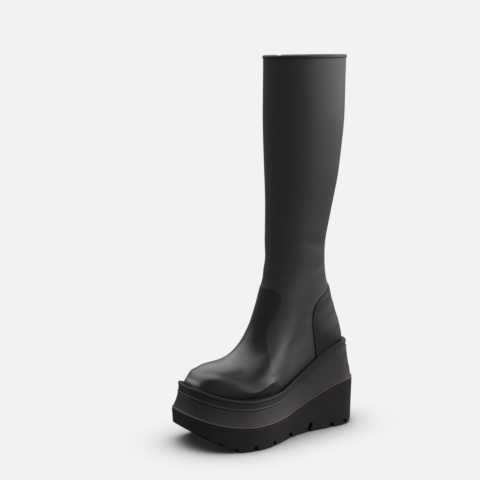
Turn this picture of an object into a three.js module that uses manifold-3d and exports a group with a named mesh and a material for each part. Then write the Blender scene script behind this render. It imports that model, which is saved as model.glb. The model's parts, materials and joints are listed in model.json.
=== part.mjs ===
// A knee-high platform boot for the left foot, in millimetres.
// +Z is up, the toe points along -Y, the outer side of the foot is +X and the inner side, with the zip, is -X.
// The origin is on the floor, under the middle of the boot's box.
import * as THREE from 'three';
import { mergeVertices } from 'three/addons/utils/BufferGeometryUtils.js';
import Module from 'manifold-3d';

const wasm = await Module();
wasm.setup();

// ---- Driving dimensions ----
const SOLE_LENGTH = 263.7;
const BALL_WIDTH = 109.7;
const HEEL_WIDTH = 79.1;
const WAIST_PINCH = 2.7; // how much each side of the sole draws in under the arch
const HEEL_LINE = -7.87; // x of the line up the middle of the heel
const SWING = 13.5; // how far the ball of the foot swings out from the heel line
const TOE_CAP = 0.3; // share of the sole's length that rounds off into the toe
const HEEL_CAP = 0.12;
const WEDGE_START = 0.47; // share of the length, from the toe, where the wedge starts to climb
const WEDGE_END = 0.96;
const TOE_SPRING = 16.75; // how far every layer of the sole lifts at the toe
const GROUND_SPRING = 29.3; // how far the tread lifts at the toe
const GROUND_SPRING_END = 0.22;
const HEEL_BEVEL = 6;
const HEEL_BEVEL_START = 0.86;
const UPPER_WALL = 2.2;
const TUCK = 2; // how far the upper's edge drops inside the welt
const GAP = 0.3; // clearance between neighbouring pieces
const INSOLE_THICKNESS = 4.5;
// The sole's outline: powers of the superellipses at its ends, and where along its length the waist lies.
const TOE_POWER = 2.72;
const HEEL_POWER = 2.34;
const WAIST_AT = 0.58;
const BALL_AT = 0.33;
// Reach of the cutting shapes past the boot.
const ABOVE_COLLAR = 520;
const BELOW_FLOOR = -5;
const PAST_SIDE = 120;
const PAST_HEEL = 140;

// Heights of the layers' edges at the forefoot and at the heel, and how far each edge is set in.
const ridge = { fore: 30.5, heel: 63.3, inset: 0 };
const weltFoot = { fore: 50.7, heel: 104.7, inset: 7.6 };
const feather = { fore: 63.2, heel: 115.1, inset: 12.5 };

// ---- Small helpers ----
const clamp = (value) => Math.min(1, Math.max(0, value));
const ease = (value) => clamp(value) ** 2 * (3 - 2 * clamp(value));
const mix = (from, to, share) => from + (to - from) * share;
const bell = (value, middle, spread) => Math.exp(-(((value - middle) / spread) ** 2));

// Height of a layer's edge over the length: level under the ball, a wedge to the heel, spring at the toe.
function edgeHeight(edge, y) {
  const share = y / (SOLE_LENGTH - 2 * edge.inset) + 0.5;
  const wedge = ease((share - WEDGE_START) / (WEDGE_END - WEDGE_START));
  return mix(edge.fore, edge.heel, wedge) + TOE_SPRING * clamp((TOE_CAP - share) / TOE_CAP) ** 2;
}

function groundHeight(y) {
  const share = y / SOLE_LENGTH + 0.5;
  const toe = GROUND_SPRING * clamp((GROUND_SPRING_END - share) / GROUND_SPRING_END) ** 1.3;
  const heel = HEEL_BEVEL * clamp((share - HEEL_BEVEL_START) / (1 - HEEL_BEVEL_START)) ** 1.5;
  return toe + heel;
}

// Width factor that rounds both ends of an outline; each end is part of a superellipse.
function endRounding(share, toeCap, toePower, heelCap, heelPower) {
  const toe = clamp((toeCap - share) / toeCap);
  const heel = clamp((share - 1 + heelCap) / heelCap);
  return (1 - toe ** toePower) ** (1 / toePower) * (1 - heel ** heelPower) ** (1 / heelPower);
}

// ---- The upper's own surface ----
// Each row is one loop round the boot at a level, from 0 at the lasting edge to 1 at the collar.
// It runs from a front point to a back point; ball and heel are half widths, and wedge says how much
// of the footbed's bend the row keeps. The first two rows are the tucked edge and the feather line.
const upperColumns = [
  'level', 'frontY', 'frontZ', 'backY', 'backZ', 'ball', 'heel',
  'toeCap', 'toePower', 'heelCap', 'heelPower', 'swing', 'waist', 'wedge',
];
const FEATHER_LEVEL = 0.01;
const featherFront = edgeHeight(feather, -119);
const featherBack = edgeHeight(feather, 114.5);
const upperTable = [
  [0.0, -119, featherFront - TUCK, 114.5, featherBack - TUCK, 42.5, 31, 0.3, 2.7, 0.14, 2.4, 13, 0.07, 1],
  [FEATHER_LEVEL, -119, featherFront, 114.5, featherBack, 42.5, 31, 0.3, 2.7, 0.14, 2.4, 13, 0.07, 1],
  [0.04, -111.8, 88, 114.5, 123, 44, 32.5, 0.35, 2.2, 0.16, 2.4, 13, 0.08, 1],
  [0.08, -106.2, 95.3, 113.5, 131, 44, 33, 0.39, 2, 0.18, 2.3, 12.5, 0.1, 0.92],
  [0.12, -99.8, 100, 112, 140, 42, 33, 0.42, 1.95, 0.2, 2.2, 11, 0.12, 0.8],
  [0.16, -90.5, 101.3, 110, 149, 39, 32.5, 0.43, 2.1, 0.24, 2.1, 9, 0.12, 0.62],
  [0.2, -77.5, 101.2, 107.5, 158, 36, 32, 0.47, 2.05, 0.28, 2, 7, 0.11, 0.45],
  [0.24, -62.5, 101.8, 105, 167, 34, 31.5, 0.5, 2, 0.32, 2, 5, 0.09, 0.3],
  [0.28, -48.5, 106.5, 102, 176, 33, 31, 0.5, 2, 0.38, 2, 3, 0.07, 0.2],
  [0.32, -36, 118.5, 100, 185, 32, 30.5, 0.5, 2, 0.42, 2, 2, 0.05, 0.12],
  [0.36, -24, 135, 97, 196, 31.5, 30.5, 0.5, 2, 0.48, 2, 1, 0.02, 0.05],
  [0.41, -13, 167, 93, 210, 31, 31, 0.5, 2, 0.5, 2, 0.5, 0, 0],
  [0.46, -2.5, 200, 91, 224, 31, 31, 0.5, 2, 0.5, 2, 0, 0, 0],
  [0.53, 3.5, 236, 90.2, 245, 32, 32, 0.5, 2, 0.5, 2, 0, 0, 0],
  [0.64, 3.9, 296, 97.9, 296, 36, 36, 0.5, 2, 0.5, 2, 0, 0, 0],
  [0.76, 2.6, 358, 109.6, 358, 42, 42, 0.5, 2, 0.5, 2, 0, 0, 0],
  [0.88, 0.6, 430, 115.2, 431, 46, 46, 0.5, 2, 0.5, 2, 0, 0, 0],
  [1.0, 0.4, 498, 116.4, 500, 46, 46, 0.5, 2, 0.5, 2, 0, 0, 0],
];
const upperLevels = [
  0, FEATHER_LEVEL, 0.025, 0.04, 0.06, 0.08, 0.1, 0.12, 0.14, 0.16, 0.18, 0.2, 0.24, 0.28, 0.32, 0.36,
  0.41, 0.46, 0.53, 0.6, 0.68, 0.76, 0.84, 0.92, 1,
];

// Slope of a column at a row, held to zero at a peak so that the curve between rows never overshoots.
function columnSlope(column, row) {
  const last = upperTable.length - 1;
  const step = (from) =>
    (upperTable[from + 1][column] - upperTable[from][column]) / (upperTable[from + 1][0] - upperTable[from][0]);
  if (row === 0) return step(0);
  if (row === last) return step(last - 1);
  const before = step(row - 1);
  const after = step(row);
  return before * after <= 0 ? 0 : (2 * before * after) / (before + after);
}

// One column's value at a level, on a smooth curve through the table's rows.
function columnValue(column, level) {
  const last = upperTable.length - 1;
  let row = 0;
  while (row < last - 1 && upperTable[row + 1][0] < level) row += 1;
  const span = upperTable[row + 1][0] - upperTable[row][0];
  const t = (level - upperTable[row][0]) / span;
  const bend = ease(t);
  return (
    mix(upperTable[row][column], upperTable[row + 1][column], bend) +
    span * t * (1 - t) * ((1 - t) * columnSlope(column, row) - t * columnSlope(column, row + 1))
  );
}

const sectionCache = new Map();
function upperSection(level) {
  if (!sectionCache.has(level)) {
    const values = upperColumns.map((name, column) => [name, columnValue(column, level)]);
    sectionCache.set(level, Object.fromEntries(values));
  }
  return sectionCache.get(level);
}

// The vamp's dome: an oval over each cross section, from the feather line up to the ridge in the middle.
// It gives way to the table's own heights at the lasting edge and towards the instep.
const DOME_WIDTH = 45;
const DOME_TOE_POWER = 2.2;
const DOME_INSTEP_POWER = 1.4;
const DOME_BECOMES_INSTEP = [-75, -5];
const DOME_FRONT_CAP = 0.32;
const DOME_FRONT_POWER = 2.5;
const DOME_LEVELS = [0.005, 0.045, 0.3, 0.46];
const DOME_FADE = [-40, -5];
const ridgeLifts = [[3.5, -76, 20], [-3, -108, 8]];
const RIDGE_TOP_LEVEL = 0.46;
const RIDGE_STEPS = 900;
const ridgeLine = Array.from({ length: RIDGE_STEPS + 1 }, (unused, i) => {
  const level = mix(FEATHER_LEVEL, RIDGE_TOP_LEVEL, i / RIDGE_STEPS);
  return { y: columnValue(1, level), z: columnValue(2, level) };
});

function ridgeHeight(y) {
  const next = ridgeLine.findIndex((spot) => spot.y >= y);
  const i = next < 0 ? RIDGE_STEPS : Math.max(1, next);
  const before = ridgeLine[i - 1];
  const after = ridgeLine[i];
  return mix(before.z, after.z, clamp((y - before.y) / (after.y - before.y)));
}

function domeHeight(across, y) {
  const foot = edgeHeight(feather, y);
  const top = ridgeLifts.reduce(
    (height, [lift, middle, spread]) => height + lift * bell(y, middle, spread),
    ridgeHeight(y),
  );
  const share = clamp((y - upperTable[1][1]) / (upperTable[1][3] - upperTable[1][1]));
  const halfWidth = DOME_WIDTH * endRounding(share, DOME_FRONT_CAP, DOME_FRONT_POWER, 0.14, 2.4);
  const reach = clamp(across / Math.max(halfWidth, 1e-3));
  const [from, to] = DOME_BECOMES_INSTEP;
  const instep = ease((y - from) / (to - from));
  const power = mix(DOME_TOE_POWER, DOME_INSTEP_POWER, instep);
  return foot + (top - foot) * Math.sqrt(1 - reach ** power);
}

// A point of the upper's outer face; the angle runs from the toe over the outer side to the heel and back.
function upperPoint(level, angle) {
  const row = upperSection(level);
  const share = (1 - Math.cos(angle)) / 2;
  const side = Math.sin(angle) >= 0 ? 1 : -1;
  const rounding = endRounding(share, row.toeCap, row.toePower, row.heelCap, row.heelPower);
  const waist = 1 - row.waist * bell(share, WAIST_AT, 0.14);
  const halfWidth = mix(row.ball, row.heel, ease((share - 0.25) / 0.5)) * rounding * waist;
  const centre = HEEL_LINE + row.swing * bell(share, BALL_AT, 0.2);
  const y = mix(row.frontY, row.backY, share);
  const chord = mix(edgeHeight(feather, row.frontY), edgeHeight(feather, row.backY), share);
  const plain = mix(row.frontZ, row.backZ, share) + row.wedge * (edgeHeight(feather, y) - chord);
  const domed =
    ease((level - DOME_LEVELS[0]) / (DOME_LEVELS[1] - DOME_LEVELS[0])) *
    ease((DOME_LEVELS[3] - level) / (DOME_LEVELS[3] - DOME_LEVELS[2])) *
    ease((DOME_FADE[1] - y) / (DOME_FADE[1] - DOME_FADE[0]));
  const z = domed > 0 ? mix(plain, domeHeight(halfWidth, y), domed) : plain;
  return new THREE.Vector3(centre + side * halfWidth, y, z);
}

// Outward direction of the upper's face; near the lasting edge it is kept level with the floor.
function upperNormal(level, angle) {
  const turn = 0.03;
  const climb = 0.004;
  const round = upperPoint(level, angle + turn).sub(upperPoint(level, angle - turn));
  const rise = upperPoint(Math.min(1, level + climb), angle).sub(upperPoint(Math.max(0, level - climb), angle));
  const normal = round.cross(rise).normalize();
  normal.z *= clamp(level / 0.05);
  return normal.normalize();
}

function upperRow(level, offset) {
  return stations.map((angle) => upperPoint(level, angle).addScaledVector(upperNormal(level, angle), offset));
}

// Angles of equal steps along the feather line, the same on both sides of the foot.
function evenStations(stepsPerSide) {
  const samples = 2000;
  const angles = [0];
  const lengths = [0];
  let before = upperPoint(FEATHER_LEVEL, 0);
  for (let i = 1; i <= samples; i += 1) {
    const angle = (Math.PI * i) / samples;
    const point = upperPoint(FEATHER_LEVEL, angle);
    angles.push(angle);
    lengths.push(lengths[i - 1] + point.distanceTo(before));
    before = point;
  }
  const outer = [];
  for (let k = 0; k <= stepsPerSide; k += 1) {
    const target = (lengths[samples] * k) / stepsPerSide;
    outer.push(angles[lengths.findIndex((length) => length >= target - 1e-6)]);
  }
  const inner = outer.slice(1, -1).reverse().map((angle) => 2 * Math.PI - angle);
  return [...outer, ...inner];
}
const SIDE_STEPS = 28;
const stations = evenStations(SIDE_STEPS);

// ---- Loops of the sole ----
// The sole's outline, set in by a distance, at a height that depends on y.
function soleLoop(inset, heightAt) {
  return stations.map((angle) => {
    const share = (1 - Math.cos(angle)) / 2;
    const side = Math.sin(angle) >= 0 ? 1 : -1;
    const pinch = WAIST_PINCH * bell(share, WAIST_AT, 0.12);
    const halfWidth = mix(BALL_WIDTH / 2, HEEL_WIDTH / 2, ease((share - 0.25) / 0.5)) - pinch;
    const rounding = endRounding(share, TOE_CAP, TOE_POWER, HEEL_CAP, HEEL_POWER);
    const x = HEEL_LINE + SWING * bell(share, BALL_AT, 0.2) + side * rounding * (halfWidth - inset);
    const y = (share - 0.5) * (SOLE_LENGTH - 2 * inset);
    return new THREE.Vector3(x, y, heightAt(y));
  });
}

// The upper's feather line, moved outwards by an offset.
function featherLoop(offset, heightAt) {
  return upperRow(FEATHER_LEVEL, 0).map((point, i) => {
    const normal = upperNormal(FEATHER_LEVEL, stations[i]).setZ(0).normalize();
    const moved = point.addScaledVector(normal, offset);
    return moved.setZ(heightAt(moved.y));
  });
}

const ridgeAt = (y) => edgeHeight(ridge, y);
const weltFootAt = (y) => edgeHeight(weltFoot, y);
const featherAt = (y) => edgeHeight(feather, y);
const deckAt = (y) => featherAt(y) - TUCK - GAP;

// ---- Closed bodies from loops ----
function signedVolume(positions, index) {
  const corner = [new THREE.Vector3(), new THREE.Vector3(), new THREE.Vector3()];
  let volume = 0;
  for (let i = 0; i < index.length; i += 3) {
    corner.forEach((vertex, k) => vertex.fromArray(positions, index[i + k] * 3));
    volume += corner[0].dot(corner[1].cross(corner[2])) / 6;
  }
  return volume;
}

function bodyFrom(loops, index) {
  const positions = loops.flat().flatMap((point) => [point.x, point.y, point.z]);
  if (signedVolume(positions, index) < 0) index.reverse();
  const geometry = new THREE.BufferGeometry();
  geometry.setAttribute('position', new THREE.Float32BufferAttribute(positions, 3));
  geometry.setIndex(index);
  return geometry;
}

function wallBetween(lower, upper, count, index) {
  for (let i = 0; i < count; i += 1) {
    const next = (i + 1) % count;
    index.push(lower + i, lower + next, upper + next);
    index.push(lower + i, upper + next, upper + i);
  }
}

// A cap joins each outer-side point to its partner on the inner side, like the rungs of a ladder.
function ladderCap(first, count, facesUp, index) {
  const partner = (i) => first + ((count - i) % count);
  for (let i = 0; i < count / 2; i += 1) {
    const here = first + i;
    const next = first + i + 1;
    const corners = [here, next, partner(i + 1), partner(i)];
    if (facesUp) corners.reverse();
    const [a, b, c, d] = corners;
    if (new Set([a, b, c]).size === 3) index.push(a, c, b);
    if (new Set([a, c, d]).size === 3) index.push(a, d, c);
  }
}

// A solid slab: loops from the lowest to the highest, capped underneath and on top.
function slab(loops) {
  const count = loops[0].length;
  const index = [];
  for (let k = 0; k + 1 < loops.length; k += 1) wallBetween(k * count, (k + 1) * count, count, index);
  ladderCap(0, count, false, index);
  ladderCap((loops.length - 1) * count, count, true, index);
  return bodyFrom(loops, index);
}

// A ring: the loops go once round its section, and the last joins the first.
function ring(loops) {
  const count = loops[0].length;
  const index = [];
  loops.forEach((loop, k) => wallBetween(k * count, ((k + 1) % loops.length) * count, count, index));
  return bodyFrom(loops, index);
}

// A sleeve of the upper's own shape between two offsets from its outer face.
function sleeve(outerOffset, innerOffset, levels) {
  const outer = levels.map((level) => upperRow(level, outerOffset));
  const inner = levels.map((level) => upperRow(level, innerOffset)).reverse();
  return ring([...outer, ...inner]);
}

// ---- Joining and cutting ----
function solidOf(geometry) {
  const bare = geometry.clone();
  bare.deleteAttribute('normal');
  bare.deleteAttribute('uv');
  const merged = mergeVertices(bare, 1e-4);
  const mesh = new wasm.Mesh({
    numProp: 3,
    vertProperties: new Float32Array(merged.attributes.position.array),
    triVerts: new Uint32Array(merged.index.array),
  });
  return new wasm.Manifold(mesh);
}

function geometryOf(solid) {
  const mesh = solid.getMesh();
  const geometry = new THREE.BufferGeometry();
  geometry.setAttribute('position', new THREE.BufferAttribute(new Float32Array(mesh.vertProperties), 3));
  geometry.setIndex(new THREE.BufferAttribute(new Uint32Array(mesh.triVerts), 1));
  return geometry;
}

// A prism along X whose side view is the outline of [y, z] points.
function sidePrism(outline, fromX, toX) {
  const shape = new THREE.Shape(outline.map(([y, z]) => new THREE.Vector2(y, z)));
  const geometry = new THREE.ExtrudeGeometry(shape, { depth: toX - fromX, bevelEnabled: false });
  const alongX = new THREE.Matrix4().makeBasis(
    new THREE.Vector3(0, 1, 0),
    new THREE.Vector3(0, 0, 1),
    new THREE.Vector3(1, 0, 0),
  );
  geometry.applyMatrix4(alongX);
  geometry.translate(fromX, 0, 0);
  return geometry;
}

// ---- Outsole: treads, toe spring, heel breast and side lugs ----
const LUG_GAP_WIDTH = 6;
const LUG_GAP_HEIGHT = 9;
const LUG_GAP_REACH = 24;
const LUG_GAP_BELOW = 8;
// Places of the gaps between the side lugs, as a share of the sole's length from the toe.
const lugGaps = [0.06, 0.12, 0.19, 0.29, 0.41, 0.545, 0.82, 0.905];
const HEEL_BREAST = 0.665;

function lugGapOutline(share) {
  const y = (share - 0.5) * SOLE_LENGTH;
  const floor = groundHeight(y);
  const below = floor - LUG_GAP_BELOW;
  const top = floor + (share < GROUND_SPRING_END ? 0.6 : 1) * LUG_GAP_HEIGHT;
  const half = LUG_GAP_WIDTH / 2;
  return [[y - half - 1, below], [y + half + 1, below], [y + half, top], [y - half, top]];
}

function outsole() {
  const groundInset = 0.95;
  const loops = [
    soleLoop(groundInset + 1.2, groundHeight),
    soleLoop(groundInset, (y) => groundHeight(y) + 1.5),
    soleLoop(0, (y) => ridgeAt(y) - GAP - 2),
    soleLoop(0.9, (y) => ridgeAt(y) - GAP),
  ];
  const breastY = (HEEL_BREAST - 0.5) * SOLE_LENGTH;
  const breast = [
    [breastY - 6, BELOW_FLOOR], [breastY + 5, BELOW_FLOOR], [breastY + 9, 9], [breastY + 9, 12], [breastY + 6, 13],
    [breastY + 3, 12],
  ];
  let body = solidOf(slab(loops));
  body = body.subtract(solidOf(sidePrism(breast, -PAST_SIDE, PAST_SIDE)));
  for (const share of lugGaps) {
    const edge = soleLoop(0, groundHeight);
    const y = (share - 0.5) * SOLE_LENGTH;
    const nearest = (points) =>
      points.reduce((best, point) => (Math.abs(point.y - y) < Math.abs(best.y - y) ? point : best));
    const outerEdge = nearest(edge.slice(0, SIDE_STEPS)).x;
    const innerEdge = nearest(edge.slice(SIDE_STEPS)).x;
    const outline = lugGapOutline(share);
    body = body.subtract(solidOf(sidePrism(outline, outerEdge - LUG_GAP_REACH, outerEdge + LUG_GAP_REACH)));
    body = body.subtract(solidOf(sidePrism(outline, innerEdge - LUG_GAP_REACH, innerEdge + LUG_GAP_REACH)));
  }
  return geometryOf(body);
}

// ---- Midsole: a flared wedge with a ledge for the welt and a raised deck under the foot ----
function midsole() {
  const sideAt = (share) => (y) => mix(ridgeAt(y), weltFootAt(y), share);
  return slab([
    soleLoop(0.6, ridgeAt),
    soleLoop(0.2, (y) => ridgeAt(y) + 1),
    soleLoop(1.2, (y) => ridgeAt(y) + 2.4),
    soleLoop(3.9, sideAt(0.4)),
    soleLoop(6.2, sideAt(0.8)),
    soleLoop(7, weltFootAt),
    featherLoop(0, weltFootAt),
    featherLoop(0, deckAt),
  ]);
}

// ---- Welt: a ring round the deck, with a rounded lip that stands a little proud of the upper ----
function welt() {
  const sideAt = (share) => (y) => mix(weltFootAt(y), featherAt(y), share);
  return ring([
    featherLoop(GAP, (y) => weltFootAt(y) + GAP),
    featherLoop(GAP, featherAt),
    soleLoop(9.4, featherAt),
    soleLoop(8.2, sideAt(0.85)),
    soleLoop(8.4, sideAt(0.62)),
    soleLoop(7.2, sideAt(0.25)),
    soleLoop(7.6, (y) => weltFootAt(y) + GAP),
  ]);
}

// ---- Insole: lies on the deck inside the upper ----
function insole() {
  const bottomAt = (y) => deckAt(y) + GAP;
  return slab([
    featherLoop(-UPPER_WALL - 0.6, bottomAt),
    featherLoop(-UPPER_WALL - 0.9, (y) => bottomAt(y) + INSOLE_THICKNESS - 1.2),
    featherLoop(-UPPER_WALL - 2.4, (y) => bottomAt(y) + INSOLE_THICKNESS),
  ]);
}

// ---- Zip: its line up the inner side, as [z, y] from the welt to the collar ----
const ZIP_TOP = 497;
const ZIP_FOOT = 92;
const SLOT_HALF_WIDTH = 4;
const zipLine = new THREE.SplineCurve(
  [[60, 25], [106, 25], [160, 25], [187, 27.5], [222, 32], [276, 38], [362, 42], [440, 44], [ABOVE_COLLAR, 48]].map(
    ([z, y]) => new THREE.Vector2(z, y),
  ),
);

function zipY(z) {
  const points = zipLine.getPoints(200);
  const next = points.find((point) => point.x >= z);
  return next.y;
}

// Side view of a strip along the zip.
function zipStrip(halfWidth, fromZ, toZ) {
  const steps = 14;
  const heights = Array.from({ length: steps + 1 }, (_, i) => mix(fromZ, toZ, i / steps));
  const front = heights.map((z) => [zipY(z) - halfWidth, z]);
  const back = heights.map((z) => [zipY(z) + halfWidth, z]).reverse();
  return [...front, ...back];
}

// ---- Elastic gore: behind the zip at the collar, as [y, z], drawn in by a gap on each side ----
function goreOutline(gap) {
  return [[58.4 + gap, 401 + gap], [107 - gap, 411 + gap], [107 - gap, ABOVE_COLLAR], [57 + gap, ABOVE_COLLAR]];
}

const INNER_SIDE_FROM = -PAST_SIDE;
const INNER_SIDE_TO = HEEL_LINE - 4;
const innerSide = (outline) => solidOf(sidePrism(outline, INNER_SIDE_FROM, INNER_SIDE_TO));

function upper() {
  return geometryOf(
    solidOf(sleeve(0, -UPPER_WALL, upperLevels))
      .subtract(innerSide(zipStrip(SLOT_HALF_WIDTH, ZIP_FOOT, ABOVE_COLLAR)))
      .subtract(innerSide(goreOutline(0))),
  );
}

const shaftLevels = upperLevels.filter((level) => level >= 0.76);

function elasticGore() {
  const sheet = sleeve(-0.3, -1.8, shaftLevels);
  return geometryOf(solidOf(sheet).intersect(innerSide(goreOutline(GAP))));
}

function zipTape() {
  const sheet = sleeve(-0.9, -2.1, upperLevels.slice(3));
  const strip = zipStrip(SLOT_HALF_WIDTH - GAP, ZIP_FOOT + GAP, ZIP_TOP);
  return geometryOf(solidOf(sheet).intersect(innerSide(strip)));
}

function zipCoil() {
  const sheet = sleeve(0.4, -0.6, upperLevels.slice(3));
  return geometryOf(solidOf(sheet).intersect(innerSide(zipStrip(1.4, ZIP_FOOT + 4, ZIP_TOP - 8))));
}

// ---- Heel counter: a patch over the back of the upper, cut from a sleeve that stands just off it ----
const COUNTER_TOP = 193;
const COUNTER_FOOT = 60;

function heelCounter() {
  const frontEdge = new THREE.SplineCurve(
    [[98, 191.5], [80, 184.5], [65, 177], [55, 166], [51.5, 150], [52.5, 132], [55, 112], [58, 92]].map(
      ([y, z]) => new THREE.Vector2(y, z),
    ),
  );
  const outline = frontEdge.getPoints(14).map((point) => [point.x, point.y]);
  const behind = [[62, COUNTER_FOOT], [PAST_HEEL, COUNTER_FOOT], [PAST_HEEL, COUNTER_TOP]];
  const patch = sidePrism([...outline, ...behind], -PAST_SIDE, PAST_SIDE);
  // The inner side's edge lies further forward than the outer side's.
  const slant = 0.15;
  const skew = new THREE.Matrix4().set(1, 0, 0, 0, slant, 1, 0, -slant * HEEL_LINE, 0, 0, 1, 0, 0, 0, 0, 1);
  patch.applyMatrix4(skew);
  const foot = FEATHER_LEVEL + 0.003;
  const levels = [foot, ...upperLevels.filter((level) => level > foot && level < 0.47)];
  return geometryOf(solidOf(sleeve(1.8, GAP, levels)).intersect(solidOf(patch)));
}

// ---- Zip slider and its pull, modelled flat: X across the zip, Y up it, Z away from the leather ----
const SLIDER_Z = 483;
const SLIDER_LIFT = 0.7; // from the leather's face to the slider's underside
const SLIDER_BODY = 2.4;
const PIVOT_LIFT = SLIDER_LIFT + SLIDER_BODY + 1.3;
const PULL_LENGTH = 24;

function plate(outline, holes, thickness) {
  const shape = new THREE.Shape(outline.map(([x, y]) => new THREE.Vector2(x, y)));
  shape.holes = holes.map((hole) => new THREE.Path(hole.map(([x, y]) => new THREE.Vector2(x, y))));
  return new THREE.ExtrudeGeometry(shape, { depth: thickness, bevelEnabled: false });
}

function zipSlider() {
  const body = plate(
    [[-2.6, -5.6], [2.6, -5.6], [3.4, -4], [4.2, 3.6], [3.2, 5.6], [-3.2, 5.6], [-4.2, 3.6], [-3.4, -4]],
    [],
    SLIDER_BODY,
  );
  // The bail is an arch over the pivot, seen from the side: [up the zip, away from the leather].
  const sink = -0.6;
  const bail = plate(
    [
      [-2.8, sink], [2.8, sink], [2.8, 2.8], [2, 3.6], [-2, 3.6], [-2.8, 2.8],
    ],
    [[[-1.6, 0.02], [-1.6, 2.5], [1.6, 2.5], [1.6, 0.02]]],
    1.6,
  );
  const standing = new THREE.Matrix4().makeBasis(
    new THREE.Vector3(0, 1, 0),
    new THREE.Vector3(0, 0, 1),
    new THREE.Vector3(1, 0, 0),
  );
  bail.applyMatrix4(standing);
  bail.translate(-0.8, 0, SLIDER_BODY);
  const joined = geometryOf(solidOf(body).add(solidOf(bail)));
  joined.translate(0, 0, SLIDER_LIFT);
  return joined;
}

function zipPull() {
  const thickness = 1.2;
  const tab = plate(
    [
      [-2.2, 0.7], [-2.2, -5], [-3, -7], [-3, -PULL_LENGTH + 2.4], [-1.8, -PULL_LENGTH + 0.6], [0, -PULL_LENGTH],
      [1.8, -PULL_LENGTH + 0.6], [3, -PULL_LENGTH + 2.4], [3, -7], [2.2, -5], [2.2, 0.7],
    ],
    [[[-1.4, -0.7], [1.4, -0.7], [1.4, -4.4], [-1.4, -4.4]]],
    thickness,
  );
  tab.translate(0, 0, PIVOT_LIFT - thickness / 2);
  return tab;
}

// Turns and moves a flat zip part on to the inner side of the shaft at the slider's height.
function seatOnZip(mesh) {
  const y = zipY(SLIDER_Z);
  let best = { distance: Infinity };
  for (let level = 0.9; level <= 1; level += 0.001) {
    for (let angle = Math.PI * 1.3; angle < Math.PI * 1.7; angle += 0.004) {
      const point = upperPoint(level, angle);
      const distance = Math.hypot(point.y - y, point.z - SLIDER_Z);
      if (distance < best.distance) best = { distance, point, level, angle };
    }
  }
  const out = upperNormal(best.level, best.angle).setZ(0).normalize();
  const up = new THREE.Vector3(0, 0, 1);
  const across = up.clone().cross(out);
  mesh.quaternion.setFromRotationMatrix(new THREE.Matrix4().makeBasis(across, up, out));
  mesh.position.copy(best.point);
  return mesh;
}

// ---- The boot ----
function piece(name, geometry, color, roughness, metalness = 0) {
  const material = new THREE.MeshStandardMaterial({ color, roughness, metalness });
  const mesh = new THREE.Mesh(geometry, material);
  mesh.name = name;
  return mesh;
}

const boot = new THREE.Group();
boot.add(piece('outsole', outsole(), 0x1b1a1b, 0.75));
boot.add(piece('midsole', midsole(), 0x2b2a2c, 0.6));
boot.add(piece('welt', welt(), 0x29282a, 0.55));
boot.add(piece('insole', insole(), 0x242223, 0.85));
boot.add(piece('upper', upper(), 0x1e1d1f, 0.5));
boot.add(piece('heel_counter', heelCounter(), 0x201f21, 0.48));
boot.add(piece('elastic_gore', elasticGore(), 0x1b1a1c, 0.8));
boot.add(piece('zip_tape', zipTape(), 0x171618, 0.85));
boot.add(piece('zip_coil', zipCoil(), 0x141315, 0.5));
boot.add(seatOnZip(piece('zip_slider', zipSlider(), 0x2e2d2f, 0.35, 0.8)));
boot.add(seatOnZip(piece('zip_pull', zipPull(), 0x2e2d2f, 0.35, 0.8)));

export default boot;
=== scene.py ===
import json
import math
import random

import bmesh
import bpy
import numpy as np
from mathutils import Matrix, Vector
from mathutils.kdtree import KDTree


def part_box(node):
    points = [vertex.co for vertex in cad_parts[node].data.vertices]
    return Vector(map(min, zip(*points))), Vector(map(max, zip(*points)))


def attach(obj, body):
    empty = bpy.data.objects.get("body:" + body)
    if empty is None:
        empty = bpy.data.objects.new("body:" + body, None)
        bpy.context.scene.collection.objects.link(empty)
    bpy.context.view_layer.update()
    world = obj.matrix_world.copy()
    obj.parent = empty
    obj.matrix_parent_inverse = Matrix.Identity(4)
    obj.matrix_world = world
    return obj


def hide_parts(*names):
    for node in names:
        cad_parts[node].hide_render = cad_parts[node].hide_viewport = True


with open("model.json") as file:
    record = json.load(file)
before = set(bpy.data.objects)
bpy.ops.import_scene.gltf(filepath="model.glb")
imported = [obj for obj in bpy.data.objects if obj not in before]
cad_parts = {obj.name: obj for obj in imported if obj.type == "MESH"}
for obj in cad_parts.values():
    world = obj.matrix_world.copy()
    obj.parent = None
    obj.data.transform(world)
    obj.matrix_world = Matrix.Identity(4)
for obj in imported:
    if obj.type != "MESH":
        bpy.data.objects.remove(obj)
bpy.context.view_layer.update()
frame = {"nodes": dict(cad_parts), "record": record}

# A knee-high platform boot for the left foot. +Z is up, the toe points along -Y, the outer side is +X,
# and the inner side, with the zip, is -X. Lengths are in metres; tables are in millimetres, times MM.

MM = 0.001
OUTER = 1
INNER = -1

# ---- The boot's own sizes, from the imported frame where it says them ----
mounts = {mount["name"]: Vector(mount["pos_m"]) for mount in frame["record"]["mounts"]}
tread_low, tread_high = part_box("outsole")
upper_low, upper_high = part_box("upper")
slider_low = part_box("zip_slider")[0]
tape_low, tape_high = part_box("zip_tape")

HEEL_LINE = mounts["heel_tread"].x
SOLE_LENGTH = tread_high.y - tread_low.y
BALL_WIDTH = 109.7 * MM
HEEL_WIDTH = 79.1 * MM
WAIST_PINCH = 2.7 * MM
SWING = 13.5 * MM
TOE_CAP = 0.3
HEEL_CAP = 0.12
TOE_POWER = 2.72
HEEL_POWER = 2.34
WAIST_AT = 0.58
BALL_AT = 0.33
WEDGE_START = 0.47
WEDGE_END = 0.96
TOE_SPRING = 16.75 * MM
GROUND_SPRING = 29.3 * MM
GROUND_SPRING_END = 0.22
HEEL_BEVEL = 6 * MM
HEEL_BEVEL_START = 0.86
WALL = 2.2 * MM
TUCK = 2 * MM
GAP = 0.3 * MM

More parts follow.
